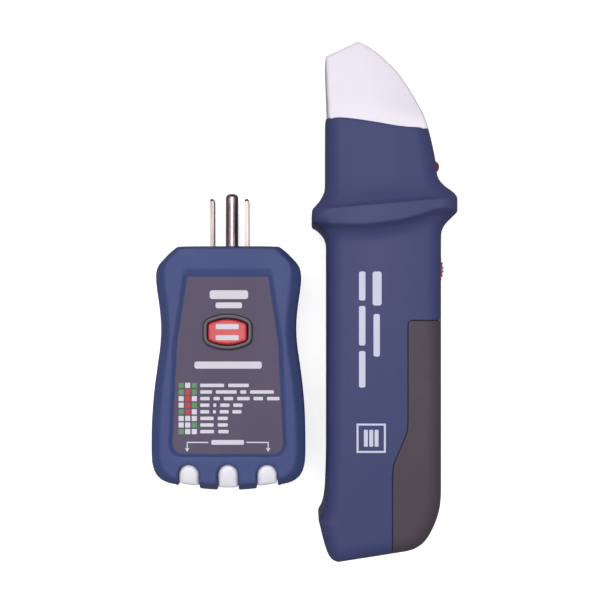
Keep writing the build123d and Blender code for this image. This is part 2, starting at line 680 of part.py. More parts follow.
LENS_CENTRES = (-LENS_PITCH, 0.0, LENS_PITCH)
with BuildPart() as transmitter_front_shell:
    add(tx_form.part)
    add(slab(tx, -40, 40, -100, 20, -10, TX_SPLIT), mode=Mode.SUBTRACT)
    with BuildSketch(tx.offset(LABEL_Z)):
        add(label_outline(0.4, -10.9, -75.1, 3.8))
    with BuildSketch(tx.offset(TX_T + 0.05)):
        add(label_outline(1.6, -8.7, -76.0, 4.2))
    loft(ruled=True, mode=Mode.SUBTRACT)
    with BuildSketch(tx.offset(LABEL_Z - 0.5)):
        add(button_outline(2.05))
    extrude(amount=2.0)
    fillet(transmitter_front_shell.faces().filter_by(Axis.Z).sort_by_distance((TX_X + 8.2, TX_Y + BUTTON_V, 31.2))[0].edges(), 0.5)
    add(tx_cavity.part, mode=Mode.SUBTRACT)
    add(posts(tx, TX_SCREWS, 3.2, TX_SPLIT, 27.5))
    add(posts(tx, TX_SCREWS, 1.25, TX_SPLIT - 1, 24.0), mode=Mode.SUBTRACT)
    with BuildSketch(tx.offset(20.0)):
        add(button_outline(0.2))
    extrude(amount=15.0, mode=Mode.SUBTRACT)
    add(lens_arches(LENS_W / 2 + 0.15, TX_SPLIT - 1, 40.0, LENS_CENTRES), mode=Mode.SUBTRACT)
    add(slab(tx, -BLADE_PITCH / 2 - BLADE_T / 2 - 0.15, -BLADE_PITCH / 2 + BLADE_T / 2 + 0.15, -5, 2, BLADE_Z - 3.35, BLADE_Z + 3.35), mode=Mode.SUBTRACT)
    add(slab(tx, BLADE_PITCH / 2 - BLADE_T / 2 - 0.15, BLADE_PITCH / 2 + BLADE_T / 2 + 0.15, -5, 2, BLADE_Z - 3.35, BLADE_Z + 3.35), mode=Mode.SUBTRACT)
write(transmitter_front_shell.part, "transmitter_front_shell")

pin_plane = Plane(origin=(TX_X, TX_Y, PIN_Z), x_dir=(1, 0, 0), z_dir=(0, 1, 0))
with BuildPart() as transmitter_back_shell:
    add(tx_form.part)
    add(slab(tx, -40, 40, -100, 20, TX_SPLIT, 50), mode=Mode.SUBTRACT)
    add(tx_cavity.part, mode=Mode.SUBTRACT)
    add(posts(tx, TX_SCREWS, 3.6, 1.0, TX_SPLIT))
    add(posts(tx, TX_SCREWS, 1.35, -1.0, TX_SPLIT + 1), mode=Mode.SUBTRACT)
    add(posts(tx, TX_SCREWS, 2.7, -1.0, 6.5), mode=Mode.SUBTRACT)
    with BuildSketch(pin_plane.offset(-5)):
        Circle(PIN_R + 0.12)
    extrude(amount=7, mode=Mode.SUBTRACT)
write(transmitter_back_shell.part, "transmitter_back_shell")

with BuildPart() as face_label:
    with BuildSketch(tx.offset(LABEL_Z)):
        add(label_outline(0.0, -11.25, -74.7, 3.6))
        add(button_outline(2.25), mode=Mode.SUBTRACT)
    extrude(amount=0.35)
write(face_label.part, "face_label")

# ================================================================ test button and switch
with BuildPart() as gfci_test_button:
    with BuildSketch(tx.offset(26.2)):
        add(button_outline(1.4))
    extrude(amount=0.85)
    with BuildSketch(tx.offset(27.0)):
        add(button_outline(0.0))
    extrude(amount=5.2)
    fillet(gfci_test_button.faces().sort_by(Axis.Z)[-1].edges(), 0.8)
    with BuildSketch(tx.offset(25.77)):
        with Locations((0, BUTTON_V)):
            Circle(1.7)
    extrude(amount=0.6)
write(gfci_test_button.part, "gfci_test_button")

with BuildPart() as button_return_spring:
    with BuildLine() as coil:
        Helix(pitch=1.24, height=4.0, radius=5.2, center=(TX_X, TX_Y + BUTTON_V, TX_PCB_Z + PCB_T + 0.3))
    with BuildSketch(Plane(origin=coil.line @ 0, z_dir=coil.line % 0)):
        Circle(0.25)
    sweep(path=coil.line, is_frenet=True)
write(button_return_spring.part, "button_return_spring")

with BuildPart() as test_switch_body:
    with BuildSketch(tx.offset(TX_PCB_Z + PCB_T)):
        with Locations((0, BUTTON_V)):
            Rectangle(6.0, 6.0)
    extrude(amount=2.6)
    with BuildSketch(tx.offset(TX_PCB_Z + PCB_T + 1.2)):
        with Locations((0, BUTTON_V)):
            Circle(1.76)
    extrude(amount=2.0, mode=Mode.SUBTRACT)
write(test_switch_body.part, "test_switch_body")

with BuildPart() as test_switch_plunger:
    with BuildSketch(tx.offset(23.2)):
        with Locations((0, BUTTON_V)):
            Circle(1.7)
    extrude(amount=1.8)
write(test_switch_plunger.part, "test_switch_plunger")

# ================================================================ indicator lenses and lamps
for lens_name, lamp_name, centre in (
    ("indicator_lens_left", "wiring_led_left", -LENS_PITCH),
    ("indicator_lens_centre", "wiring_led_centre", 0.0),
    ("indicator_lens_right", "wiring_led_right", LENS_PITCH),
):
    with BuildPart() as lens:
        add(lens_arches(LENS_W / 2, TX_SPLIT + 0.05, 29.6, (centre,)))
        add(tx_prism(1.2, 0.0, 40.0), mode=Mode.INTERSECT)
        add(slab(tx, centre - 2.1, centre + 2.1, -84.0, -70.0, 16.3, 26.9), mode=Mode.SUBTRACT)
    write(lens.part, lens_name)
    with BuildPart() as lamp:
        with BuildSketch(Plane(origin=(TX_X + centre, TX_Y - 76.5, 23.4), x_dir=(1, 0, 0), z_dir=(0, -1, 0))):
            Circle(1.5)
        extrude(amount=4.0)
        with Locations(Location((TX_X + centre, TX_Y - 80.5, 23.4))):
            Sphere(1.5)
        for lead_u in (-0.9, 0.9):
            add(slab(tx, centre + lead_u - 0.2, centre + lead_u + 0.2, -76.6, -73.6, 23.2, 23.6))
            add(slab(tx, centre + lead_u - 0.2, centre + lead_u + 0.2, -74.0, -73.6, TX_PCB_Z + PCB_T, 23.6))
    write(lamp.part, lamp_name)

# ================================================================ plug
for blade_name, blade_u in (("neutral_blade", -BLADE_PITCH / 2), ("hot_blade", BLADE_PITCH / 2)):
    with BuildPart() as blade:
        add(slab(tx, blade_u - BLADE_T / 2, blade_u + BLADE_T / 2, -12.0, BLADE_L, BLADE_Z - BLADE_W / 2, BLADE_Z + BLADE_W / 2))
        chamfer(blade.faces().sort_by(Axis.Y)[-1].edges().filter_by(Axis.X), 0.9)
        chamfer(blade.faces().sort_by(Axis.Y)[-1].edges().filter_by(Axis.Z), 0.45)
        with BuildSketch(Plane(origin=(TX_X + blade_u - 2, TX_Y + 11.9, BLADE_Z), x_dir=(0, 1, 0), z_dir=(1, 0, 0))):
            Circle(1.6)
        extrude(amount=4, mode=Mode.SUBTRACT)
    write(blade.part, blade_name)

with BuildPart() as ground_pin:          # a thinner root is held by the carrier and the wall
    with BuildSketch(pin_plane.offset(-12.0)):
        Circle(PIN_ROOT_R)
    extrude(amount=12.4)
    with BuildSketch(pin_plane.offset(0.3)):
        Circle(PIN_R)
    extrude(amount=PIN_L - 0.3)
    fillet(ground_pin.edges().group_by(Axis.Y)[-1], 1.6)
write(ground_pin.part, "ground_pin")

with BuildPart() as prong_carrier:
    add(slab(tx, -12.5, 12.5, -10.0, -2.1, 2.4, 24.5))
    for blade_u in (-BLADE_PITCH / 2, BLADE_PITCH / 2):
        add(slab(tx, blade_u - BLADE_T / 2 - 0.05, blade_u + BLADE_T / 2 + 0.05, -11, 0, BLADE_Z - BLADE_W / 2 - 0.05, BLADE_Z + BLADE_W / 2 + 0.05), mode=Mode.SUBTRACT)
    with BuildSketch(pin_plane.offset(-12)):
        Circle(PIN_ROOT_R + 0.05)
    extrude(amount=12, mode=Mode.SUBTRACT)
write(prong_carrier.part, "prong_carrier")

# ================================================================ transmitter electronics
with BuildPart() as transmitter_pcb:
    with BuildSketch(tx.offset(TX_PCB_Z)):
        with BuildLine():
            Polyline((-18.5, -14.0), (18.5, -14.0), (18.5, -76.0), (-18.5, -76.0), close=True)
        make_face()
        with Locations(*TX_SCREWS):
            Circle(3.7, mode=Mode.SUBTRACT)
    extrude(amount=PCB_T)
write(transmitter_pcb.part, "transmitter_pcb")

with BuildPart() as transmitter_chip:
    add(slab(tx, -14.0, -4.0, -52.0, -48.0, TX_PCB_Z + PCB_T + 0.15, TX_PCB_Z + PCB_T + 1.75))
    chamfer(transmitter_chip.edges().group_by(Axis.Z)[-1], 0.25)
    with BuildSketch(tx.offset(TX_PCB_Z + PCB_T)):
        with GridLocations(1.27, 5.0, 7, 2):
            with Locations((-9.0, -50.0)):
                Rectangle(0.45, 1.2)
    extrude(amount=0.4)
write(transmitter_chip.part, "transmitter_chip")

with BuildPart() as film_capacitor:
    add(slab(tx, -15.0, 2.0, -37.0, -29.0, 8.0, TX_PCB_Z - 0.02))
    fillet(film_capacitor.edges().filter_by(Axis.Z), 0.8)
write(film_capacitor.part, "film_capacitor")

with BuildPart() as ceramic_resistors:
    add(slab(tx, -11.0, 11.0, -47.0, -40.5, 13.3, TX_PCB_Z - 0.02))
    add(slab(tx, -11.0, 11.0, -57.0, -50.5, 13.3, TX_PCB_Z - 0.02))
    fillet(ceramic_resistors.edges().filter_by(Axis.X), 0.5)
write(ceramic_resistors.part, "ceramic_resistors")

with BuildPart() as fuse:
    with BuildSketch(Plane(origin=(TX_X - 10, TX_Y - 63.5, TX_PCB_Z - 3.0), x_dir=(0, 1, 0), z_dir=(1, 0, 0))):
        Circle(2.4)
    extrude(amount=20)
    for cap_u in (-10.0, 5.0):
        with BuildSketch(Plane(origin=(TX_X + cap_u, TX_Y - 63.5, TX_PCB_Z - 3.0), x_dir=(0, 1, 0), z_dir=(1, 0, 0))):
            Circle(2.6)
        extrude(amount=5)
        add(slab(tx, cap_u + 2.2, cap_u + 2.8, -63.8, -63.2, TX_PCB_Z - 2.0, TX_PCB_Z - 0.02))
write(fuse.part, "fuse")

with BuildPart() as transmitter_screws:
    with BuildSketch(tx.offset(4.7)):
        with Locations(*TX_SCREWS):
            Circle(2.4)
    extrude(amount=1.8)
    with BuildSketch(tx.offset(6.5)):
        with Locations(*TX_SCREWS):
            Circle(1.2)
    extrude(amount=14.5)
    with BuildSketch(tx.offset(4.7)):
        with Locations(*TX_SCREWS):
            Rectangle(2.8, 0.6)
            Rectangle(0.6, 2.8)
    extrude(amount=1.1, mode=Mode.SUBTRACT)
write(transmitter_screws.part, "transmitter_screws")

for wire_name, start, middle, end in (
    ("hot_wire", (6.35, -12.05, 17.0), (8.2, -17.0, 15.6), (9.5, -21.0, 19.95)),
    ("neutral_wire", (-6.35, -12.05, 17.0), (-8.2, -17.0, 15.6), (-9.5, -21.0, 19.95)),
    ("ground_wire", (0.0, -12.05, 6.5), (0.5, -20.0, 9.5), (4.5, -25.0, 19.95)),
):
    lead = wire(
        (TX_X + start[0], TX_Y + start[1], start[2]),
        [(TX_X + middle[0], TX_Y + middle[1], middle[2])],
        (TX_X + end[0], TX_Y + end[1], end[2]),
        (0, -1, 0), (0, 0, 1), 0.8,
    )
    write(lead, wire_name)
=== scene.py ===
import math

import bmesh
import bpy
import numpy as np
from mathutils import Matrix, Vector
from mathutils.geometry import delaunay_2d_cdt


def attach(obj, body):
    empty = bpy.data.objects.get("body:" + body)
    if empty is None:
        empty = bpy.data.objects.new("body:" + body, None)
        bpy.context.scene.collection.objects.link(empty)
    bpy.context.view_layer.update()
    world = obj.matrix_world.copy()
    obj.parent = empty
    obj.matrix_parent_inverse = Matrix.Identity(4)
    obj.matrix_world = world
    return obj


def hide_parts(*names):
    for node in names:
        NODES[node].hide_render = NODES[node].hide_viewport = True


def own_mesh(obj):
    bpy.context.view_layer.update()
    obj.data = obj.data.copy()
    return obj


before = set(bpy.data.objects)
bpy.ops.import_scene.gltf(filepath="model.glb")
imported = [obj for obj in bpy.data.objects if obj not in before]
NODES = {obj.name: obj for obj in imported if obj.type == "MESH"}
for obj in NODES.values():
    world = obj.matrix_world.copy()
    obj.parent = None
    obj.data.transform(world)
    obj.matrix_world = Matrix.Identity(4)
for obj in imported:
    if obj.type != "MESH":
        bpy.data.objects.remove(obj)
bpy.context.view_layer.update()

# datum points of the two units, taken from the frame itself
RXO = np.array([29.1, 32.5, 19.0])
TXO = np.array([-27.15, 19.9, 0.0])


# ------------------------------------------------------------------ node helpers
def srgb(r, g, b):
    def lin(c):
        c = c / 255.0
        return c / 12.92 if c <= 0.04045 else ((c + 0.055) / 1.055) ** 2.4
    return (lin(r), lin(g), lin(b), 1.0)


class Nodes:
    """Thin wrapper that keeps node graphs short."""

    def __init__(self, name):
        self.mat = bpy.data.materials.new(name)
        self.mat.use_nodes = True
        self.tree = self.mat.node_tree
        self.bsdf = self.tree.nodes["Principled BSDF"]
        self.coord = self.add("ShaderNodeNewGeometry")

    def add(self, kind, **props):
        node = self.tree.nodes.new(kind)
        for key, value in props.items():
            setattr(node, key, value)
        return node

    def link(self, a, b):
        self.tree.links.new(a, b)

    def value(self, socket, v):
        socket.default_value = v

    def noise(self, scale, detail=3.0, rough=0.5, stretch=None, offset=(0, 0, 0)):
        source = self.object_position()
        if stretch or offset != (0, 0, 0):
            m = self.add("ShaderNodeMapping")
            m.inputs["Scale"].default_value = stretch or (1, 1, 1)
            m.inputs["Location"].default_value = offset
            self.link(source, m.inputs["Vector"])
            source = m.outputs["Vector"]
        n = self.add("ShaderNodeTexNoise")
        n.inputs["Scale"].default_value = scale
        n.inputs["Detail"].default_value = detail
        n.inputs["Roughness"].default_value = rough
        self.link(source, n.inputs["Vector"])
        return n.outputs["Fac"]

    def object_position(self):
        if not hasattr(self, "_obj"):
            self._obj = self.add("ShaderNodeTexCoord").outputs["Object"]
        return self._obj

    def ramp(self, fac, stops, mode="LINEAR"):
        r = self.add("ShaderNodeValToRGB")
        r.color_ramp.interpolation = mode
        e = r.color_ramp.elements
        e[0].position, e[0].color = stops[0][0], stops[0][1]
        e[1].position, e[1].color = stops[-1][0], stops[-1][1]
        for pos, col in stops[1:-1]:
            x = e.new(pos)
            x.color = col
        self.link(fac, r.inputs["Fac"])
        return r.outputs["Color"]

    def math(self, op, a, b=None, c=None, clamp=False):
        m = self.add("ShaderNodeMath", operation=op, use_clamp=clamp)
        for i, x in enumerate((a, b, c)):
            if x is None:
                continue
            if hasattr(x, "is_output"):
                self.link(x, m.inputs[i])
            else:
                m.inputs[i].default_value = x
        return m.outputs[0]

    def mix(self, fac, a, b, blend="MIX"):
        m = self.add("ShaderNodeMix", data_type="RGBA", blend_type=blend)
        for socket, x in ((m.inputs[0], fac), (m.inputs[6], a), (m.inputs[7], b)):
            if hasattr(x, "is_output"):
                self.link(x, socket)
            else:
                socket.default_value = x
        return m.outputs[2]

    def maprange(self, x, a, b, c, d):
        m = self.add("ShaderNodeMapRange")
        self.link(x, m.inputs[0])
        for i, v in enumerate((a, b, c, d)):
            m.inputs[i + 1].default_value = v
        return m.outputs[0]

    def bump(self, height, strength, distance, normal=None):
        b = self.add("ShaderNodeBump")
        b.inputs["Strength"].default_value = strength
        b.inputs["Distance"].default_value = distance
        self.link(height, b.inputs["Height"])
        if normal is not None:
            self.link(normal, b.inputs["Normal"])
        return b.outputs["Normal"]

    def rounded(self, radius, samples=4):
        b = self.add("ShaderNodeBevel", samples=samples)
        b.inputs["Radius"].default_value = radius
        return b.outputs["Normal"]


def plastic(name, base, dark=None, rough=0.42, rough_var=0.08, grain=0.35, grain_mm=0.35, wear=0.25, tint=0.06,
            round_mm=0.25, coat=0.0, sss=0.0, spec=0.5, mould=0.5):
    """Injection-moulded plastic: spark-eroded grain, slow colour drift, polished high edges, faint scuffs."""
    g = Nodes(name)
    base = np.array(base)
    dark = np.array(dark) if dark is not None else np.append(base[:3] * 0.82, 1.0)
    light = np.append(np.minimum(base[:3] * (1 + tint) + 0.004, 1.0), 1.0)
    cloud = g.noise(38.0, 3.0, 0.55)
    colour = g.ramp(cloud, [(0.30, tuple(base * (1 - tint) + dark * tint)), (0.55, tuple(base)), (0.78, tuple(light))])
    fine = g.noise(900.0 / grain_mm * 1.0, 2.0, 0.6)
    specks = g.maprange(fine, 0.3, 0.7, 0.94, 1.05)
    colour = g.mix(1.0, colour, g.ramp(specks, [(0.0, (0.9, 0.9, 0.9, 1)), (1.0, (1.0, 1.0, 1.0, 1))]), "MULTIPLY")
    # polished, slightly lighter convex edges
    point = g.add("ShaderNodeNewGeometry").outputs["Pointiness"]
    edge = g.maprange(point, 0.505, 0.56, 0.0, 1.0)
    patch = g.maprange(g.noise(120.0, 4.0, 0.6), 0.42, 0.66, 0.0, 1.0)
    worn = g.math("MULTIPLY", g.math("MULTIPLY", edge, patch, clamp=True), wear, clamp=True)
    colour = g.mix(worn, colour, tuple(np.append(np.minimum(base[:3] * 1.6 + 0.03, 1.0), 1.0)))
    g.link(colour, g.bsdf.inputs["Base Color"])
    scuff = g.noise(60.0, 5.0, 0.7, stretch=(1.0, 0.12, 1.0), offset=(0.3, 0.1, 0.7))
    r = g.math("ADD", g.maprange(scuff, 0.35, 0.70, rough - rough_var / 2, rough + rough_var), g.math("MULTIPLY", worn, -0.10))
    g.link(r, g.bsdf.inputs["Roughness"])
    h1 = g.noise(1000.0 / grain_mm, 3.0, 0.62)
    h2 = g.noise(45.0, 2.0, 0.5)
    n = g.rounded(round_mm / 1000.0) if round_mm else None
    n = g.bump(h2, mould * 0.35, 0.0006, n)          # slow sink marks of the moulding
    n = g.bump(h1, grain, 0.00004, n)                # eroded grain
    g.link(n, g.bsdf.inputs["Normal"])
    g.bsdf.inputs["Specular IOR Level"].default_value = spec
    if coat:
        g.bsdf.inputs["Coat Weight"].default_value = coat
        g.bsdf.inputs["Coat Roughness"].default_value = 0.15
    if sss:
        g.bsdf.inputs["Subsurface Weight"].default_value = sss
        g.bsdf.inputs["Subsurface Radius"].default_value = (0.9, 0.85, 1.0)
        g.bsdf.inputs["Subsurface Scale"].default_value = 0.0016
    return g


def metal(name, base, rough=0.22, brushed=True, tarnish=(0.5, 0.42, 0.36)):
    g = Nodes(name)
    base = np.array(base)
    cloud = g.noise(150.0, 4.0, 0.6)
    colour = g.ramp(cloud, [(0.35, tuple(np.append(base[:3] * np.array(tarnish) * 1.35, 1.0))), (0.55, tuple(base)),
                            (0.8, tuple(np.append(np.minimum(base[:3] * 1.15, 1), 1.0)))])
    g.link(colour, g.bsdf.inputs["Base Color"])
    g.bsdf.inputs["Metallic"].default_value = 1.0
    streak = g.noise(900.0, 2.0, 0.5, stretch=(1.0, 0.05, 1.0) if brushed else (1, 1, 1))
    g.link(g.maprange(streak, 0.3, 0.7, rough - 0.06, rough + 0.12), g.bsdf.inputs["Roughness"])
    g.link(g.bump(streak, 0.25, 0.00002, g.rounded(0.0001)), g.bsdf.inputs["Normal"])
    return g


# ------------------------------------------------------------------ mesh helpers
def to_object(name, verts_mm, faces, material, body, origin=(0, 0, 0), slot=None, replaces=(), angle=38.0, weld=0.0):
    """Closed mesh from millimetre points in a unit's own axes."""
    mesh = bpy.data.meshes.new(name)
    co = (np.asarray(verts_mm, float) + np.asarray(origin, float)) / 1000.0
    mesh.from_pydata([tuple(p) for p in co], [], [tuple(int(i) for i in f) for f in faces])
    mesh.validate()
    obj = bpy.data.objects.new(name, mesh)
    bpy.context.scene.collection.objects.link(obj)
    bm = bmesh.new()
    bm.from_mesh(mesh)
    if weld:
        bmesh.ops.remove_doubles(bm, verts=bm.verts, dist=weld)
    bmesh.ops.dissolve_degenerate(bm, edges=bm.edges, dist=1e-7)
    bmesh.ops.recalc_face_normals(bm, faces=bm.faces)
    bm.to_mesh(mesh)
    bm.free()
    finish_object(obj, material, body, replaces, angle)
    return obj


def shade(obj, angle=38.0):
    bm = bmesh.new()
    bm.from_mesh(obj.data)
    limit = math.radians(angle)
    for f in bm.faces:
        f.smooth = True
    for e in bm.edges:
        e.smooth = not (len(e.link_faces) == 2 and e.calc_face_angle(0.0) > limit)
    bm.to_mesh(obj.data)
    bm.free()


def finish_object(obj, material, body, replaces=(), angle=38.0):
    shade(obj, angle)
    if material is not None:
        obj.data.materials.clear()
        obj.data.materials.append(material.mat if isinstance(material, Nodes) else material)
    if body:
        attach(obj, body)
    if replaces:
        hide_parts(*replaces)


def boolean(target, cutter):
    """Subtracts a closed cutter; worked at a thousand times size so that small features stay clear of the solver's tolerance."""
    big, small = Matrix.Scale(1000.0, 4), Matrix.Scale(0.001, 4)
    target.data.transform(big)
    cutter.data.transform(big)
    mod = target.modifiers.new("cut", "BOOLEAN")
    mod.operation = "DIFFERENCE"
    mod.solver = "MANIFOLD"
    mod.object = cutter
    dg = bpy.context.evaluated_depsgraph_get()
    result = bpy.data.meshes.new_from_object(target.evaluated_get(dg))
    target.modifiers.remove(mod)
    old = target.data
    target.data = result
    bpy.data.meshes.remove(old)
    bpy.data.objects.remove(cutter, do_unlink=True)
    target.data.transform(small)
    return target


def tidy(obj, dist=2e-6):
    bm = bmesh.new()
    bm.from_mesh(obj.data)
    bmesh.ops.remove_doubles(bm, verts=bm.verts, dist=dist)
    bmesh.ops.dissolve_degenerate(bm, edges=bm.edges, dist=1e-6)
    bmesh.ops.recalc_face_normals(bm, faces=bm.faces)
    bm.to_mesh(obj.data)
    bm.free()


def grid_faces(index, flip=False, closed_cols=False):
    rows, cols = index.shape
    faces = []
    for i in range(rows - 1):
        for j in range(cols - 1 if not closed_cols else cols):
            k = (j + 1) % cols
            q = (index[i, j], index[i, k], index[i + 1, k], index[i + 1, j])
            q = tuple(dict.fromkeys(q))
            if len(q) > 2:
                faces.append(q[::-1] if flip else q)
    return faces


def smoothstep(a, b, x):
    t = np.clip((np.asarray(x, float) - a) / (b - a), 0, 1)
    return t * t * (3 - 2 * t)


def pchip(xs, ys, x):
    """Monotone cubic through points, so measured outlines stay free of ripples."""
    xs, ys, x = np.asarray(xs, float), np.asarray(ys, float), np.asarray(x, float)
    h = np.diff(xs)
    d = np.diff(ys) / h
    m = np.zeros_like(ys)
    for i in range(1, len(xs) - 1):
        if d[i - 1] * d[i] > 0:
            w1, w2 = 2 * h[i] + h[i - 1], h[i] + 2 * h[i - 1]
            m[i] = (w1 + w2) / (w1 / d[i - 1] + w2 / d[i])
    m[0], m[-1] = d[0], d[-1]
    k = np.clip(np.searchsorted(xs, x) - 1, 0, len(h) - 1)
    t = (x - xs[k]) / h[k]
    t = np.clip(t, 0, 1)
    return ((1 + 2 * t) * (1 - t) ** 2 * ys[k] + t * (1 - t) ** 2 * h[k] * m[k]
            + t * t * (3 - 2 * t) * ys[k + 1] + t * t * (t - 1) * h[k] * m[k + 1])


def seg_distance(points, line, chunk=4000):
    """Distance of each 2-D point to a polyline."""
    points = np.asarray(points, float)
    a, b = line[:-1], line[1:]
    ab = b - a
    l2 = np.maximum((ab ** 2).sum(1), 1e-12)
    out = np.empty(len(points))
    for s in range(0, len(points), chunk):
        p = points[s:s + chunk, None, :]
        t = np.clip(((p - a) * ab).sum(2) / l2, 0, 1)
        q = a + t[..., None] * ab
        out[s:s + chunk] = np.sqrt(((p - q) ** 2).sum(2)).min(1)
    return out


def roundoff(d, r):
    """How far a rounded edge of radius r lies below the face, at distance d from the edge."""
    x = np.clip(1 - np.asarray(d, float) / r, 0, 1)
    return r * (1 - np.sqrt(np.maximum(1 - x * x, 0)))


# ------------------------------------------------------------------ receiver form
K_GUARD = math.tan(math.radians(4.95))
CUT_V, HANDLE_R = -39.4, 6.0

SIDE_R = [(-104, 20.42), (-100, 20.55), (-60, 20.55), (-20, 20.55), (-9.8, 20.56), (-7.6, 20.75), (-6.1, 21.3), (-4.6, 22.3),
          (-3.0, 23.8), (-1.7, 25.1), (-0.85, 25.82), (0.0, 26.0), (4.3, 26.0), (5.2, 25.82), (6.0, 25.3), (7.4, 23.8),
          (8.8, 21.95), (10.3, 20.5), (11.7, 19.6), (13.2, 19.15), (16, 18.85), (20.4, 18.3), (23.3, 17.75),
          (26.2, 17.15), (29.8, 16.3), (34, 15.2)]
SIDE_L = [(-104, -21.05), (-100, -20.9), (-92, -20.65), (-84, -20.55), (-40, -20.55), (-11.9, -20.6), (-10.1, -20.95), (-8.6, -21.65),
          (-7.1, -22.75), (-6.2, -23.65), (-5.3, -24.85), (-4.65, -25.75), (-3.9, -26.0), (-0.5, -26.0), (0.3, -25.82),
          (1.2, -25.15), (2.7, -23.8), (4.1, -22.85), (5.5, -22.1), (7.0, -21.5), (8.4, -21.25), (10, -21.05),
          (14, -21.0), (34, -21.0)]
THICK = [(-130, 15.5), (-12.5, 15.5), (-10.5, 15.52), (-8.6, 15.66), (-7.0, 15.98), (-5.9, 16.45), (-5.0, 17.05), (-4.35, 17.7), (-3.9, 18.25),
         (-3.5, 18.7), (-3.2, 18.9), (-2.8, 18.98), (-0.5, 18.96), (1.5, 18.94), (1.9, 18.84), (2.15, 18.6), (2.4, 18.2), (2.8, 17.8), (3.5, 17.4),
         (4.7, 16.95), (6.6, 16.35), (9.0, 15.8), (11.5, 15.4), (15, 14.95), (22, 14.1), (33, 12.95)]
BAND_LOW = [(-27, -2.6), (-24.5, -2.65), (-21.5, -2.95), (-14.4, -3.85), (-5.6, -4.5), (3.15, -4.2), (11.9, -2.85), (18.5, -1.4),
            (21.5, -1.5), (24.3, -2.5), (27, -2.85)]
SEAM = [(-24, 33.35), (-20.5, 33.35), (-16, 33.28), (-11.1, 32.8), (-1.6, 31.4), (5.0, 30.25), (9.5, 29.82), (13, 29.75), (19, 29.8)]
BOTTOM_L = [(-20.9, -100.0), (-21.1, -103.0), (-21.55, -106.2), (-22.2, -108.6), (-22.95, -110.1), (-23.55, -111.0), (-23.6, -111.6),
            (-23.35, -112.6), (-22.9, -114.4), (-22.3, -117.0), (-21.55, -119.8), (-20.8, -122.2), (-20.2, -123.7), (-19.3, -125.1),
            (-18.1, -126.05), (-16.6, -126.5)]
BOTTOM_R = [(20.55, -100.0), (20.5, -103.0), (20.2, -106.4), (19.6, -109.0), (18.8, -111.5), (17.8, -113.9), (16.6, -116.3),
            (15.3, -118.3), (13.8, -119.9), (12.0, -121.2), (10.2, -122.05), (8.0, -122.6)]
LOW_SPLIT = -100.0


def fn(table):
    xs, ys = np.array(table).T
    return lambda q: pchip(xs, ys, np.clip(q, xs[0], xs[-1]))


f_right, f_left, f_thick, f_low, f_seam = fn(SIDE_R), fn(SIDE_L), fn(THICK), fn(BAND_LOW), fn(SEAM)
TOP_H = 31.0


def row_v(h, u):
    """Height of a row line over u: level on the handle, tilted at the guard, following the seam at the neck."""
    tilt = K_GUARD * smoothstep(-34, -14, h)
    window = smoothstep(-15, -6, h) * (1 - smoothstep(-2.8, 0.8, h))
    v = h + tilt * u + (f_low(u) + 3.1) * window
    t = smoothstep(13, TOP_H, h)
    return (1 - t) * v + t * (f_seam(u) - (TOP_H - h))


def side_at(h, side):
    u = np.full(np.shape(h), 20.0 if side is f_right else -20.0)
    for _ in range(60):
        u = 0.5 * u + 0.5 * side(row_v(h, u))
    return u


def along(points, fraction):
    p = np.array(points, float)
    for _ in range(3):      # corner cutting keeps the measured corners but takes the kinks out
        q = 0.75 * p[:-1] + 0.25 * p[1:]
        r = 0.25 * p[:-1] + 0.75 * p[1:]
        p = np.vstack([p[:1], np.stack([q, r], 1).reshape(-1, 2), p[-1:]])
    seg = np.sqrt((np.diff(p, axis=0) ** 2).sum(1))
    s = np.concatenate([[0], np.cumsum(seg)])
    x = np.asarray(fraction) * s[-1]
    return np.stack([np.interp(x, s, p[:, 0]), np.interp(x, s, p[:, 1])], 1), s[-1]


def cut_u(v, top_round=True):
    """Left edge of the battery cover on the side faces."""
    xs = [-140, -96, -92.6, -90.4, -88.2, -81.0, -79.0, -77.2, -74.6, -39.3]
    ys = [2.6, 2.6, 2.72, 3.15, 4.0, 7.05, 7.72, 8.02, 8.1, 8.1]
    b = pchip(np.array(xs), np.array(ys), np.clip(v, -140, -39.3))
    if top_round:
        k = np.clip(1.5 - (CUT_V - np.asarray(v, float)), 0, 1.5)
        b = b + 1.5 - np.sqrt(np.maximum(1.5 ** 2 - k ** 2, 0))
    return b


def receiver_rows():
    """Heights of the row lines, from the seam down to just above the battery cover's cut."""
    upper = np.concatenate([
        TOP_H - np.array([0, 0.06, 0.16, 0.32, 0.55, 0.8, 1.3]),
        np.linspace(29.0, 12.5, 14), np.arange(12.0, 2.6, -0.5), np.arange(2.5, 0.9, -0.2), np.arange(0.6, -2.3, -0.5),
        np.arange(-2.4, -4.0, -0.16), np.arange(-4.1, -6.0, -0.3), np.arange(-6.2, -13.0, -0.6), np.linspace(-13.5, -38.0, 12)])
    return upper


def clusters(r, count):
    phi = np.linspace(0, math.pi / 2, count)
    return r * (1 - np.cos(phi))


def receiver_row(h):
    left, right = float(side_at(np.array(h), f_left)), float(side_at(np.array(h), f_right))
    return left, right


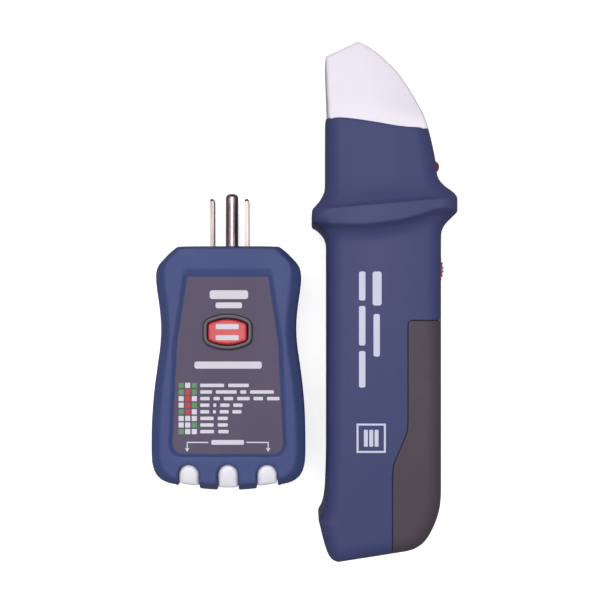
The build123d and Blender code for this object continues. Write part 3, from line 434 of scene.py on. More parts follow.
def build_receiver():
    upper = receiver_rows()
    cut_rows_above = CUT_V + 0.075 + np.array([1.0, 0.55, 0.3, 0.15, 0.06, 0.0])
    above = np.concatenate([upper, cut_rows_above])
    below_first = CUT_V - 0.075 - np.array([0.0, 0.06, 0.15, 0.3, 0.5, 0.75, 1.0, 1.25, 1.5, 2.2])
    below = np.concatenate([below_first, np.linspace(-43.5, -74, 18), np.linspace(-75.0, -93.0, 24), np.linspace(-94.5, LOW_SPLIT + 1.2, 4)])
    rounded = clusters(5.6, 10)[::-1]
    _, len_l = along(BOTTOM_L, np.array([0.0]))
    _, len_r = along(BOTTOM_R, np.array([0.0]))
    mean = 0.5 * (len_l + len_r)
    dist = np.concatenate([np.linspace(mean, 6.0, 26), rounded[1:]])
    frac = 1 - dist / mean
    ends_l, _ = along(BOTTOM_L, frac)
    ends_r, _ = along(BOTTOM_R, frac)

    # outline polyline for edge distances, from the seam round the bottom and back up
    hs = np.concatenate([np.linspace(36, -98, 700)])
    vl = np.linspace(36, -99.5, 900)
    left_line = np.stack([f_left(vl), vl], 1)
    right_line = np.stack([f_right(vl), vl], 1)
    low_l, _ = along(BOTTOM_L, np.linspace(0, 1, 160))
    low_r, _ = along(BOTTOM_R, np.linspace(0, 1, 160))
    outline = np.vstack([left_line, low_l, low_r[::-1], right_line[::-1]])

    def edge_w(points, thick, r=HANDLE_R):
        d = seg_distance(points, outline)
        crown = 0.22 * (points[:, 0] / 20.0) ** 2
        return thick - crown - roundoff(d, r)

    def row_points(kind, value):
        """Returns (end, end, function of u share) for one row."""
        if kind == "h":
            left, right = receiver_row(value)
            def at(u):
                return np.stack([u, row_v(value, u)], 1)
            return left, right, at
        l, r = value
        def at(u):
            t = (u - l[0]) / (r[0] - l[0])
            return np.stack([u, l[1] + t * (r[1] - l[1])], 1)
        return l[0], r[0], at

    rows = [("h", h, float(f_thick(h)), "above") for h in above]
    rows += [("h", h, 15.5, "below") for h in below]
    rows += [("s", (ends_l[i], ends_r[i]), 15.5, "below") for i in range(len(frac))]

    gap = 0.075
    near = np.array([0.5, 0.3, 0.15, 0.06, 0.0])
    pa, pb = [], []
    kinds = []
    thick_a, thick_b = [], []
    for kind, value, thick, zone in rows:
        left, right, at = row_points(kind, value)
        b = 9.6
        if zone == "below":
            for _ in range(12):
                b = float(cut_u(at(np.array([b]))[0, 1]))
        b = min(b, right - 1.2)
        rl = clusters(min(HANDLE_R + 0.3, 0.45 * (b - left)), 11)
        rr = clusters(min(HANDLE_R + 0.3, 0.8 * (right - b)), 11)
        g = gap if zone == "below" else 0.0
        ua = np.concatenate([left + rl, np.linspace(left + rl[-1], b - g - 0.5, 14)[1:-1], b - g - near])
        ub = np.concatenate([b + g + near[::-1], np.linspace(b + g + 0.5, right - rr[-1], 8)[1:-1], right - rr[::-1]])
        pa.append(at(ua))
        pb.append(at(ub))
        thick_a.append(thick)
        kinds.append(zone)
    pa, pb = np.array(pa), np.array(pb)
    thick = np.array(thick_a)
    n_above = len(above)
    return dict(pa=pa, pb=pb, thick=thick, n_above=n_above, edge_w=edge_w, outline=outline)


def normals_of(loop):
    """Inward unit normals of an ordered closed 2-D loop."""
    nxt, prv = np.roll(loop, -1, 0), np.roll(loop, 1, 0)
    t = nxt - prv
    t /= np.maximum(np.sqrt((t ** 2).sum(1, keepdims=True)), 1e-9)
    area = 0.5 * np.sum(loop[:, 0] * nxt[:, 1] - nxt[:, 0] * loop[:, 1])
    n = np.stack([-t[:, 1], t[:, 0]], 1)
    return n if area > 0 else -n


def half_solid(name, sign, form, material, body, replaces):
    """Upper (+1) or lower (-1) half of the receiver body, as a closed solid down to the parting plane."""
    pa, pb, thick, na = form["pa"], form["pb"], form["thick"], form["n_above"]
    rows, ca = pa.shape[:2]
    cb = pb.shape[1]
    verts, index_a = [], -np.ones((rows, ca), int)
    index_b = -np.ones((na, cb), int)
    wa = form["edge_w"](pa.reshape(-1, 2), np.repeat(thick, ca)).reshape(rows, ca)
    wb = form["edge_w"](pb[:na].reshape(-1, 2), np.repeat(thick[:na], cb)).reshape(na, cb)
    # small radius along the seam edge, along the cover's cut edge and along the cut row
    seam_d = np.array([0, 0.06, 0.16, 0.32, 0.55, 0.8, 1.3])
    for i, d in enumerate(seam_d):
        wa[i] -= roundoff(d, 0.75)
        wb[i] -= roundoff(d, 0.75)
    near = np.array([0.5, 0.3, 0.15, 0.06, 0.0])
    for k, d in enumerate(near):
        wa[na:, ca - 5 + k] -= roundoff(d, 0.3)
    for k, d in enumerate([1.0, 0.55, 0.3, 0.15, 0.06, 0.0]):
        wb[na - 6 + k] -= roundoff(d, 0.3)
    for i in range(rows):
        for j in range(ca):
            index_a[i, j] = len(verts)
            verts.append((pa[i, j, 0], pa[i, j, 1], sign * wa[i, j]))
    for i in range(na):
        index_b[i, 0] = index_a[i, ca - 1]
        for j in range(1, cb):
            index_b[i, j] = len(verts)
            verts.append((pb[i, j, 0], pb[i, j, 1], sign * wb[i, j]))
    faces = grid_faces(index_a) + grid_faces(index_b)
    loop, kind = [], []
    def push(ids, k):
        for q in ids:
            if not loop or loop[-1] != q:
                loop.append(q)
                kind.append(k)
    push(index_a[:, 0], "outline")
    push(index_a[-1, :], "outline")
    push(index_a[::-1, ca - 1][:rows - na], "cut")
    push(index_b[na - 1, :], "cut")
    push(index_b[::-1, cb - 1], "outline")
    push(index_b[0, ::-1], "seam")
    push(index_a[0, ::-1], "seam")
    if loop[0] == loop[-1]:
        loop.pop()
        kind.pop()
    plan = np.array([verts[q][:2] for q in loop])
    inward = normals_of(plan)
    levels = [(0.75, 0), (0.5, 0), (0.28, 0), (0.12, 0)]
    previous = list(loop)
    top_w = np.array([abs(verts[q][2]) for q in loop])
    for share, _ in levels:
        current = []
        for n, q in enumerate(loop):
            current.append(len(verts))
            verts.append((plan[n, 0], plan[n, 1], sign * top_w[n] * share))
        for n in range(len(loop)):
            m = (n + 1) % len(loop)
            faces.append((previous[n], previous[m], current[m], current[n]))
        previous = current
    for w, inset in ((0.34, 0.0), (0.16, 0.05), (0.0, 0.17)):
        current = []
        for n, q in enumerate(loop):
            shift = inward[n] * (inset if kind[n] == "outline" else 0.0)
            current.append(len(verts))
            verts.append((plan[n, 0] + shift[0], plan[n, 1] + shift[1], sign * w))
        for n in range(len(loop)):
            m = (n + 1) % len(loop)
            faces.append((previous[n], previous[m], current[m], current[n]))
        previous = current
    faces.append(tuple(previous))
    return to_object(name, verts, faces, material, body, RXO, "shell_blue", replaces)


def cover_solid(form, material):
    pb, thick, na = form["pb"][form["n_above"]:], form["thick"][form["n_above"]:], form["n_above"]
    rows, cb = pb.shape[:2]
    w = form["edge_w"](pb.reshape(-1, 2), np.repeat(thick, cb)).reshape(rows, cb)
    near = [0.0, 0.06, 0.15, 0.3, 0.5]
    for k, d in enumerate(near):
        w[:, k] -= roundoff(d, 0.3)
        w[k] -= roundoff(d, 0.3)
    w = w - 0.05
    verts, up, low = [], np.zeros((rows, cb), int), np.zeros((rows, cb), int)
    for sign, index in ((1, up), (-1, low)):
        for i in range(rows):
            for j in range(cb):
                index[i, j] = len(verts)
                verts.append((pb[i, j, 0], pb[i, j, 1], sign * w[i, j]))
    faces = grid_faces(up) + grid_faces(low, flip=True)
    loop_up = list(up[:, 0]) + list(up[-1, 1:]) + list(up[::-1, cb - 1][1:]) + list(up[0, ::-1][1:-1])
    loop_low = list(low[:, 0]) + list(low[-1, 1:]) + list(low[::-1, cb - 1][1:]) + list(low[0, ::-1][1:-1])
    previous = loop_up
    for share in (0.8, 0.6, 0.4, 0.2, 0.0, -0.2, -0.4, -0.6, -0.8):
        current = []
        for q in loop_up:
            u, v, ww = verts[q]
            current.append(len(verts))
            verts.append((u, v, ww * share))
        for n in range(len(loop_up)):
            m = (n + 1) % len(loop_up)
            faces.append((previous[n], previous[m], current[m], current[n]))
        previous = current
    for n in range(len(loop_up)):
        m = (n + 1) % len(loop_up)
        faces.append((previous[n], previous[m], loop_low[m], loop_low[n]))
    return to_object("battery_cover_shell", verts, faces, material, "battery_cover", RXO, "cover_dark", ("battery_cover",))


def ring_solid(name, loops_z, origin, material=None, body=None, cap=True, **kw):
    """Closed solid from a stack of matching loops: each entry is (2-D loop, height)."""
    verts, faces, previous = [], [], None
    n = len(loops_z[0][0])
    for loop, z in loops_z:
        current = list(range(len(verts), len(verts) + n))
        zz = np.broadcast_to(z, (n,))
        verts += [(p[0], p[1], q) for p, q in zip(loop, zz)]
        if previous:
            for i in range(n):
                j = (i + 1) % n
                faces.append((previous[i], previous[j], current[j], current[i]))
        previous = current
    if cap:
        faces.append(tuple(range(n))[::-1])
        faces.append(tuple(previous))
    return to_object(name, verts, faces, material, body, origin, **kw)


def receiver_cavity():
    """Hollow of the handle and neck, used as a cutter."""
    corners = [(-19.0, 40.0), (-19.0, 12.0), (-18.75, 4.0), (-18.75, -98.0), (-19.3, -106.0), (-20.6, -112.6), (-18.7, -121.2), (-15.9, -124.2),
               (8.0, -120.4), (12.6, -117.6), (16.4, -111.6), (18.4, -104.6), (18.75, -98.0), (18.75, -4.0), (18.5, 3.0), (17.35, 13.2),
               (16.5, 20.4), (15.35, 26.2), (14.3, 29.8), (12.4, 40.0)]
    radii = [0.8, 5, 5, 30, 20, 3.4, 8, 3.4, 6, 8, 10, 12, 30, 8, 8, 8, 20, 20, 10, 0.8]
    loop = ccw(resample(corner_round(corners, radii, 6), 1.5))
    inward = normals_of(loop)

    def thick(v):
        return np.interp(v, [-130, 8, 33, 42], [15.5, 15.5, 12.9, 12.0]) - 1.9

    stack = []
    for sign, angles in ((-1, np.linspace(90, 0, 5)), (1, np.linspace(0, 90, 5))):
        for phi in angles:
            c = math.radians(phi)
            stack.append((loop + inward * 2.0 * (1 - math.cos(c)), sign * (thick(loop[:, 1]) - 2.0 * (1 - math.sin(c)))))
    return ring_solid("cavity_cutter", stack, RXO)


# ------------------------------------------------------------------ plan-view mesher
def resample(loop, step):
    loop = np.asarray(loop, float)
    closed = np.vstack([loop, loop[:1]])
    seg = np.sqrt((np.diff(closed, axis=0) ** 2).sum(1))
    s = np.concatenate([[0], np.cumsum(seg)])
    n = max(8, int(round(s[-1] / step)))
    x = np.linspace(0, s[-1], n, endpoint=False)
    return np.stack([np.interp(x, s, closed[:, 0]), np.interp(x, s, closed[:, 1])], 1)


def chaikin(loop, times=3):
    p = np.asarray(loop, float)
    for _ in range(times):
        n = np.roll(p, -1, 0)
        p = np.stack([0.75 * p + 0.25 * n, 0.25 * p + 0.75 * n], 1).reshape(-1, 2)
    return p


def corner_round(loop, radii, steps=7):
    """Closed polygon with each corner replaced by an arc of the given radius."""
    loop = [np.array(p, float) for p in loop]
    out, n = [], len(loop)
    for i, p in enumerate(loop):
        r = radii[i] if hasattr(radii, "__len__") else radii
        a, b = loop[i - 1] - p, loop[(i + 1) % n] - p
        la, lb = np.linalg.norm(a), np.linalg.norm(b)
        a, b = a / la, b / lb
        ang = math.acos(max(-1, min(1, float(a @ b))))
        if r <= 0 or math.pi - ang < 0.02:
            out.append(p)
            continue
        cut = min(r / math.tan(ang / 2), 0.48 * la, 0.48 * lb)
        rr = cut * math.tan(ang / 2)
        c = p + (a + b) / np.linalg.norm(a + b) * rr / math.sin(ang / 2)
        s, e = p + a * cut, p + b * cut
        a0 = math.atan2(*(s - c)[::-1])
        a1 = math.atan2(*(e - c)[::-1])
        d = (a1 - a0 + math.pi) % (2 * math.pi) - math.pi
        for k in range(steps + 1):
            t = a0 + d * k / steps
            out.append(c + rr * np.array([math.cos(t), math.sin(t)]))
    return np.array(out)


def ccw(loop):
    n = np.roll(loop, -1, 0)
    return loop if np.sum(loop[:, 0] * n[:, 1] - n[:, 0] * loop[:, 1]) > 0 else loop[::-1]


def inside(points, loop):
    x, y = points[:, 0], points[:, 1]
    res = np.zeros(len(points), bool)
    x1, y1 = loop[:, 0], loop[:, 1]
    x2, y2 = np.roll(x1, -1), np.roll(y1, -1)
    for a, b, c, d in zip(x1, y1, x2, y2):
        if b == d:
            continue
        hit = ((b > y) != (d > y)) & (x < (c - a) * (y - b) / (d - b) + a)
        res ^= hit
    return res


def close_line(loop):
    return np.vstack([loop, loop[:1]])


def mesh_domain(outer, holes, rings, spacing, extra=()):
    """Triangles over a plan region. rings: distances from every boundary that get a row of points."""
    outer = ccw(np.asarray(outer, float))
    holes = [ccw(np.asarray(h, float)) for h in holes]
    loops = [outer] + holes
    lines = [close_line(l) for l in loops]

    def dist(p):
        return np.min([seg_distance(p, l) for l in lines], axis=0)

    def valid(p):
        ok = inside(p, outer)
        for h in holes:
            ok &= ~inside(p, h)
        return ok

    chosen = []
    for k, loop in enumerate(loops):
        n = normals_of(loop) * (1 if k == 0 else -1)
        for d in rings:
            p = loop + n * d
            p = p[valid(p)]
            if len(p):
                p = p[dist(p) > d * 0.97 - 0.01]
                chosen.append(p)
    for p in extra:
        p = np.asarray(p, float)
        p = p[valid(p)]
        if len(p):
            chosen.append(p[dist(p) > 0.04])
    lo, hi = outer.min(0), outer.max(0)
    xs = np.arange(lo[0], hi[0], spacing)
    ys = np.arange(lo[1], hi[1], spacing * 0.866)
    g = np.array([(x + (0.5 * spacing if i % 2 else 0), y) for i, y in enumerate(ys) for x in xs])
    g = g[valid(g)]
    g = g[dist(g) > max(rings) + 0.45 * spacing]
    if len(extra):
        e = np.vstack([np.asarray(p, float) for p in extra])
        keep = np.ones(len(g), bool)
        for s in range(0, len(g), 2000):
            q = g[s:s + 2000]
            keep[s:s + 2000] = np.sqrt(((q[:, None, :] - e[None]) ** 2).sum(2)).min(1) > 0.55 * spacing
        g = g[keep]
    chosen.append(g)
    free = np.vstack(chosen)
    # thin out points that fall on top of one another
    key = np.round(free / 0.035).astype(int)
    _, first = np.unique(key, axis=0, return_index=True)
    free = free[np.sort(first)]
    bound = np.vstack(loops)
    pts = np.vstack([bound, free])
    edges, start = [], 0
    for l in loops:
        n = len(l)
        edges += [(start + i, start + (i + 1) % n) for i in range(n)]
        start += n
    res = delaunay_2d_cdt([Vector(p) for p in pts], edges, [], 0, 1e-7, True)
    v = np.array([(p.x, p.y) for p in res[0]])
    tri = np.array([f for f in res[2] if len(f) == 3])
    a, b, c = v[tri[:, 0]], v[tri[:, 1]], v[tri[:, 2]]
    area = np.abs((b[:, 0] - a[:, 0]) * (c[:, 1] - a[:, 1]) - (b[:, 1] - a[:, 1]) * (c[:, 0] - a[:, 0]))
    on_edge = np.array([any(o < len(bound) for o in origs) for origs in res[3]])
    sliver = on_edge[tri].all(1) & (area < 1e-4)      # thin leftovers outside a straight edge
    tri = tri[valid(v[tri].mean(1)) & ~sliver]
    remap = {}
    for new, origs in enumerate(res[3]):
        for o in origs:
            remap[o] = new
    out_loops, start = [], 0
    for l in loops:
        out_loops.append([remap[start + i] for i in range(len(l))])
        start += len(l)
    return v, tri, out_loops


def height_solid(name, outer, holes, rings, spacing, height, base_z, material, body, origin, extra=(), groove=0.0,
                 levels=(0.8, 0.55, 0.3, 0.12), flip=False, **kw):
    """Closed solid: a height field over the plan region, walls, and a flat cap at base_z."""
    v, tri, loops = mesh_domain(outer, holes, rings, spacing, extra)
    z = height(v)
    n = len(v)
    verts = [(p[0], p[1], q) for p, q in zip(v, z)]
    faces = [tuple(t) for t in tri]
    cap_shift = np.zeros((n, 2))
    bottoms = []
    for k, loop in enumerate(loops):
        plan = v[loop]
        inward = normals_of(plan) * (1 if k == 0 else -1)
        previous = list(loop)
        stack = [(base_z + (z[loop] - base_z) * s, 0.0) for s in levels]
        if groove:
            sgn = 1.0 if z.mean() > base_z else -1.0
            stack += [(base_z + sgn * 0.34, 0.0), (base_z + sgn * 0.16, groove * 0.3)]
        for zz, inset in stack:
            current = list(range(len(verts), len(verts) + len(loop)))
            use = inset if k == 0 else 0.0
            p = plan + inward * use
            zz = np.broadcast_to(zz, (len(loop),))
            verts += [(a[0], a[1], b) for a, b in zip(p, zz)]
            for i in range(len(loop)):
                j = (i + 1) % len(loop)
                faces.append((previous[i], previous[j], current[j], current[i]))
            previous = current
        current = list(range(len(verts), len(verts) + len(loop)))
        p = plan + inward * (groove if k == 0 else 0.0)
        verts += [(a[0], a[1], base_z) for a in p]
        for i in range(len(loop)):
            j = (i + 1) % len(loop)
            faces.append((previous[i], previous[j], current[j], current[i]))
        bottoms.append(current)
    # cap over the base loops
    cap_pts = [Vector((verts[q][0], verts[q][1])) for b in bottoms for q in b]
    ids = [q for b in bottoms for q in b]
    edges, start = [], 0
    for b in bottoms:
        edges += [(start + i, start + (i + 1) % len(b)) for i in range(len(b))]
        start += len(b)
    res = delaunay_2d_cdt(cap_pts, edges, [], 0, 1e-7, True)
    cv = np.array([(p.x, p.y) for p in res[0]])
    back = {new: origs[0] for new, origs in enumerate(res[3]) if len(origs)}
    ct = [f for f in res[2] if len(f) == 3 and all(q in back for q in f)]
    mids = cv[np.array(ct)].mean(1)
    op = np.array([(verts[q][0], verts[q][1]) for q in bottoms[0]])
    ok = inside(mids, op)
    for b in bottoms[1:]:
        ok &= ~inside(mids, np.array([(verts[q][0], verts[q][1]) for q in b]))
    for f, good in zip(ct, ok):
        if good:
            faces.append(tuple(ids[back[q]] for q in f))
    return to_object(name, verts, faces, material, body, origin, **kw)


# ------------------------------------------------------------------ transmitter form
TX_SIDE = [(18.15, 0.0), (19.7, -1.05), (21.85, -2.95), (23.2, -4.4), (24.6, -5.9), (25.6, -7.3), (26.15, -8.9), (26.35, -10.8), (26.25, -13.1), (25.8, -16.8),
           (25.25, -20.4), (24.8, -24.05), (24.5, -27.7), (24.45, -31.3), (24.65, -35.0), (25.05, -38.6), (25.6, -42.2),
           (26.1, -45.9), (26.6, -49.5), (27.0, -53.15), (27.35, -56.8), (27.6, -60.4), (27.8, -64.1), (27.9, -67.7),
           (27.95, -71.3), (27.93, -75.0), (27.7, -78.6), (27.0, -81.3), (25.9, -83.3), (24.1, -84.9), (21.9, -85.85), (19.6, -86.35)]
TX_RIDGE = [(16.7, -0.95), (18.1, -2.0), (19.9, -3.75), (21.1, -5.0), (22.1, -6.3), (22.6, -7.6), (22.8, -9.2), (22.85, -11.0), (22.7, -13.2), (22.3, -16.8),
            (21.8, -20.4), (21.4, -24.05), (21.1, -27.7), (21.05, -31.3), (21.25, -35.0), (21.65, -38.6), (22.2, -42.2),
            (22.7, -45.9), (23.2, -49.5), (23.6, -53.15), (23.95, -56.8), (24.2, -60.4), (24.4, -64.1), (24.5, -67.7),
            (24.55, -71.3), (24.5, -74.6), (24.2, -77.4), (23.5, -79.6), (22.5, -81.3), (21.1, -82.6), (19.8, -83.2), (18.4, -83.6)]


def tx_loop(side, bottom_mid, steps=1):
    """Closed outline from flank points: plug end, right flank, bottom arc, left flank."""
    right = np.array(side, float)
    end = right[-1]
    us = np.linspace(end[0], -end[0], 30)[1:-1]
    bottom = np.stack([us, bottom_mid + (end[1] - bottom_mid) * (us / end[0]) ** 2], 1)
    left = (right * np.array([-1, 1]))[::-1]
    return np.vstack([right, bottom, left])


def refine(loop, k=4):
    """Same number of points between matching corners, so two loops stay matched."""
    nxt = np.roll(loop, -1, 0)
    t = (np.arange(k) / k)[:, None, None]
    return ((1 - t) * loop + t * nxt).transpose(1, 0, 2).reshape(-1, 2)


TX_OUT = chaikin(refine(tx_loop(TX_SIDE, -88.45), 2), 2)
TX_TOP = chaikin(refine(tx_loop(TX_RIDGE, -85.7), 2), 2)
LABEL_FLOOR = corner_round([(14.75, -10.95), (-14.75, -10.95), (-18.35, -35.0), (-20.25, -75.05), (20.25, -75.05), (18.35, -35.0)],
                           [0.7, 0.7, 30, 3.9, 3.9, 30], 9)
LABEL_RIM = corner_round([(15.75, -8.65), (-15.75, -8.65), (-19.75, -35.0), (-21.35, -75.9), (21.35, -75.9), (19.75, -35.0)],
                         [0.9, 0.9, 30, 4.4, 4.4, 30], 9)


def arch(centre, half, top_v, low_v, corner=None, steps=22):
    """Arched outline open towards the bottom edge."""
    a = np.linspace(0, math.pi, steps)
    cap = np.stack([centre + half * np.cos(a), top_v - half + half * np.sin(a)], 1)
    return np.vstack([cap, [(centre - half, low_v)], [(centre + half, low_v)]])


def button_loop(grow, bow=1.75, w=6.9, h=4.5, corner=1.4, centre=-31.0, n=14):
    """Outline with straight ends and bowed long sides, moved outwards by grow."""
    us = np.linspace(-w, w, n)
    top = np.stack([us, centre + h - bow * (us / w) ** 2], 1)
    low = np.stack([us[::-1], centre - h + bow * (us[::-1] / w) ** 2], 1)
    loop = np.vstack([low, top])
    radii = [0.0] * len(loop)
    for q in (0, n - 1, n, 2 * n - 1):
        radii[q] = corner
    base = resample(corner_round(loop, radii, 5), 0.45)
    return base - normals_of(base) * grow


LENS_C = (-14.1, 0.0, 14.1)


def notched_outline():
    """Transmitter outline with the three lens notches cut into its lower edge."""
    out = ccw(resample(TX_OUT, 0.5))
    half = 3.78
    pieces = []
    def notch_mask(p):
        m = np.zeros(len(p), bool)
        for c in LENS_C:
            m |= (np.abs(p[:, 0] - c) < half) & (p[:, 1] < -80)
        return m
    m = notch_mask(out)
    i0 = int(np.argmax(out[:, 1]))
    out = np.roll(out, -i0, 0)
    m = np.roll(m, -i0)
    result, i = [], 0
    n = len(out)
    while i < n:
        if not m[i]:
            result.append(out[i])
            i += 1
            continue
        j = i
        while m[j % n]:
            j += 1
        c = min(LENS_C, key=lambda q: abs(q - out[i][0]))
        first, last = result[-1], out[j % n]
        direction = 1 if last[0] > first[0] else -1
        def edge_v(u):
            return float(np.interp((u - first[0]) / (last[0] - first[0]), [0, 1], [first[1], last[1]]))
        u_in, u_out = c - direction * half, c + direction * half
        lip = 0.75
        v_in, v_out = edge_v(u_in), edge_v(u_out)
        while result and abs(result[-1][0] - u_in) < lip and result[-1][1] < -80:
            result.pop()
        a = np.linspace(0, math.pi / 2, 6)
        result += [np.array((u_in - direction * lip * (1 - math.sin(t)), v_in + lip * (1 - math.cos(t)))) for t in a]
        vs = np.arange(v_in + lip + 0.4, -78.7 - half, 0.45)
        result += [np.array((u_in, q)) for q in vs]
        a = np.linspace(math.pi, 0, 26) if direction > 0 else np.linspace(0, math.pi, 26)
        result += [np.array((c + half * math.cos(t), -78.7 - half + half * math.sin(t))) for t in a]
        vs = np.arange(v_out + lip + 0.4, -78.7 - half, 0.45)[::-1]
        result += [np.array((u_out, q)) for q in vs]
        a = np.linspace(math.pi / 2, 0, 6)
        result += [np.array((u_out + direction * lip * (1 - math.sin(t)), v_out + lip * (1 - math.cos(t)))) for t in a]
        while j < n and abs(out[j % n][0] - u_out) < lip + 0.2:
            j += 1
        i = j
    return ccw(np.array(result))


out_line, ridge_line = close_line(TX_OUT), close_line(TX_TOP)
floor_line, rim_line = close_line(LABEL_FLOOR), close_line(LABEL_RIM)
notch_lines = [close_line(arch(c, 3.78, -78.7, -95.0)) for c in LENS_C]


def tx_top_height(p):
    """Front face height: wall, bevel, ridge, sloped recess edge and recess floor, with every edge eased."""
    d_o = seg_distance(p, out_line)
    in_ridge = inside(p, TX_TOP)
    d_r = np.where(in_ridge, 0.0, seg_distance(p, ridge_line))
    f = d_o / np.maximum(d_o + d_r, 1e-6)                 # 0 at the wall, 1 at the ridge
    f = np.where(in_ridge, 1.0, f)
    z = 26.75 + 4.25 * f
    # ease the wall edge and the ridge
    z -= roundoff(d_o, 1.1) * 0.75
    d_in = np.where(in_ridge, seg_distance(p, ridge_line), 0.0)
    near_ridge = np.where(in_ridge, d_in, d_r)
    z -= 0.22 * np.exp(-(near_ridge / 0.42) ** 2)
    # fall of the front face from the ridge towards the recess
    z -= np.where(in_ridge, 0.10 * smoothstep(0.0, 4.0, d_in), 0.0)
    # recess
    in_rim, in_floor = inside(p, LABEL_RIM), inside(p, LABEL_FLOOR)
    d_rim, d_floor = seg_distance(p, rim_line), seg_distance(p, floor_line)
    g = np.where(in_floor, 1.0, np.where(in_rim, d_rim / np.maximum(d_rim + d_floor, 1e-6), 0.0))
    z = z * (1 - g) + 29.7 * g
    z -= np.where(in_floor, 0.0, 0.10 * np.exp(-(d_rim / 0.3) ** 2))
    # notch edges
    d_n = np.min([seg_distance(p, l) for l in notch_lines], axis=0)
    z -= roundoff(d_n, 0.85)
    return z


def build_front_shell(material):
    outline = resample_keep(notched_outline())
    hole = resample(button_loop(1.0), 0.6)
    lerp = []
    for f in (0.03, 0.07, 0.12, 0.2, 0.32, 0.46, 0.6, 0.74, 0.84, 0.9, 0.94, 0.97, 1.0):
        lerp.append(TX_OUT + f * (TX_TOP - TX_OUT))
    n_in = normals_of(TX_TOP)
    for d in (0.12, 0.26, 0.42, 0.65, 0.95, 1.4):
        lerp.append(TX_TOP + n_in * d)
    rim_in, floor_in = normals_of(ccw(resample(LABEL_RIM, 0.55))), normals_of(ccw(resample(LABEL_FLOOR, 0.55)))
    rim, floor_loop = ccw(resample(LABEL_RIM, 0.55)), ccw(resample(LABEL_FLOOR, 0.55))
    for d in (-0.6, -0.3, -0.15, 0.0, 0.12, 0.25):
        lerp.append(rim + rim_in * d)
    for d in (-0.3, -0.15, -0.05, 0.0, 0.3):
        lerp.append(floor_loop + floor_in * d)
    for c in LENS_C:
        a = ccw(resample(arch(c, 3.78, -78.7, -90.0), 0.45))
        na = normals_of(a)
        for d in (0.07, 0.16, 0.28, 0.42, 0.6, 0.85, 1.2):
            lerp.append(a - na * d)
    extra = [p for p in lerp]
    return height_solid("transmitter_front", outline, [hole], (0.02, 0.07, 0.16, 0.3, 0.5, 0.75, 1.05, 1.5), 1.6, tx_top_height, 14.5,
                        material, "transmitter", TXO, extra=extra, groove=0.16, slot="shell_blue", replaces=("transmitter_front_shell",))


def resample_keep(loop, limit=0.8):
    """Adds points on long straight stretches and drops coincident ones, keeping the given points."""
    out = []
    n = len(loop)
    for i in range(n):
        a, b = loop[i], loop[(i + 1) % n]
        length = np.linalg.norm(b - a)
        if length < 0.03:
            continue
        k = max(1, int(math.ceil(length / limit)))
        out += [a + (b - a) * t / k for t in range(k)]
    return np.array(out)


def tx_back_height(p):
    return roundoff(seg_distance(p, out_line), 3.4)


def build_back_shell(material):
    outline = ccw(resample(TX_OUT, 0.7))
    return height_solid("transmitter_back", outline, [], tuple(clusters(3.4, 9)[1:]), 2.6, tx_back_height, 14.5, material,
                        "transmitter", TXO, groove=0.16, slot="shell_blue", replaces=("transmitter_back_shell",))


def tx_cavity_cutter():
    loop = ccw(resample(TX_OUT, 1.2))
    n = normals_of(loop)
    stack = [(loop + n * 3.4, 2.1), (loop + n * 2.4, 2.6), (loop + n * 2.0, 3.6), (loop + n * 2.0, 25.4), (loop + n * 3.2, 27.1)]
    return ring_solid("tx_cavity", stack, TXO)


# ------------------------------------------------------------------ further solids
def double_height_solid(name, outer, rings, spacing, height, material, body, origin, extra=(), **kw):
    """Closed solid symmetric about its mid plane: +height on top, -height below, walls between."""
    v, tri, loops = mesh_domain(outer, [], rings, spacing, extra)
    z = height(v)
    n = len(v)
    verts = [(p[0], p[1], q) for p, q in zip(v, z)] + [(p[0], p[1], -q) for p, q in zip(v, z)]
    faces = [tuple(t) for t in tri] + [tuple(int(i) + n for i in t[::-1]) for t in tri]
    loop = loops[0]
    previous = list(loop)
    for share in (0.8, 0.55, 0.3, 0.08, 0.0, -0.08, -0.3, -0.55, -0.8):
        current = list(range(len(verts), len(verts) + len(loop)))
        verts += [(v[q][0], v[q][1], z[q] * share) for q in loop]
        for i in range(len(loop)):
            j = (i + 1) % len(loop)
            faces.append((previous[i], previous[j], current[j], current[i]))
        previous = current
    for i in range(len(loop)):
        j = (i + 1) % len(loop)
        faces.append((previous[i], previous[j], loop[j] + n, loop[i] + n))
    return to_object(name, verts, faces, material, body, origin, **kw)


def revolve_points(profile, centre, steps=40):
    """Closed profile of (radius, height) turned about an upright axis: verts and faces."""
    verts, faces, m = [], [], len(profile)
    for i in range(steps):
        a = 2 * math.pi * i / steps
        verts += [(centre[0] + r * math.cos(a), centre[1] + r * math.sin(a), h) for r, h in profile]
    for i in range(steps):
        j = (i + 1) % steps
        for k in range(m):
            q = (k + 1) % m
            faces.append((i * m + k, j * m + k, j * m + q, i * m + q))
    return verts, faces


def merge_parts(parts):
    verts, faces = [], []
    for v, f in parts:
        s = len(verts)
        verts += list(v)
        faces += [tuple(int(i) + s for i in q) for q in f]
    return verts, faces


def torus_stack(name, loops_z, origin, material, body, **kw):
    """Closed ring: loops joined one after another and the last to the first."""
    verts, faces, n, m = [], [], len(loops_z[0][0]), len(loops_z)
    for loop, z in loops_z:
        verts += [(p[0], p[1], z) for p in loop]
    for k in range(m):
        q = (k + 1) % m
        for i in range(n):
            j = (i + 1) % n
            faces.append((k * n + i, k * n + j, q * n + j, q * n + i))
    return to_object(name, verts, faces, material, body, origin, **kw)


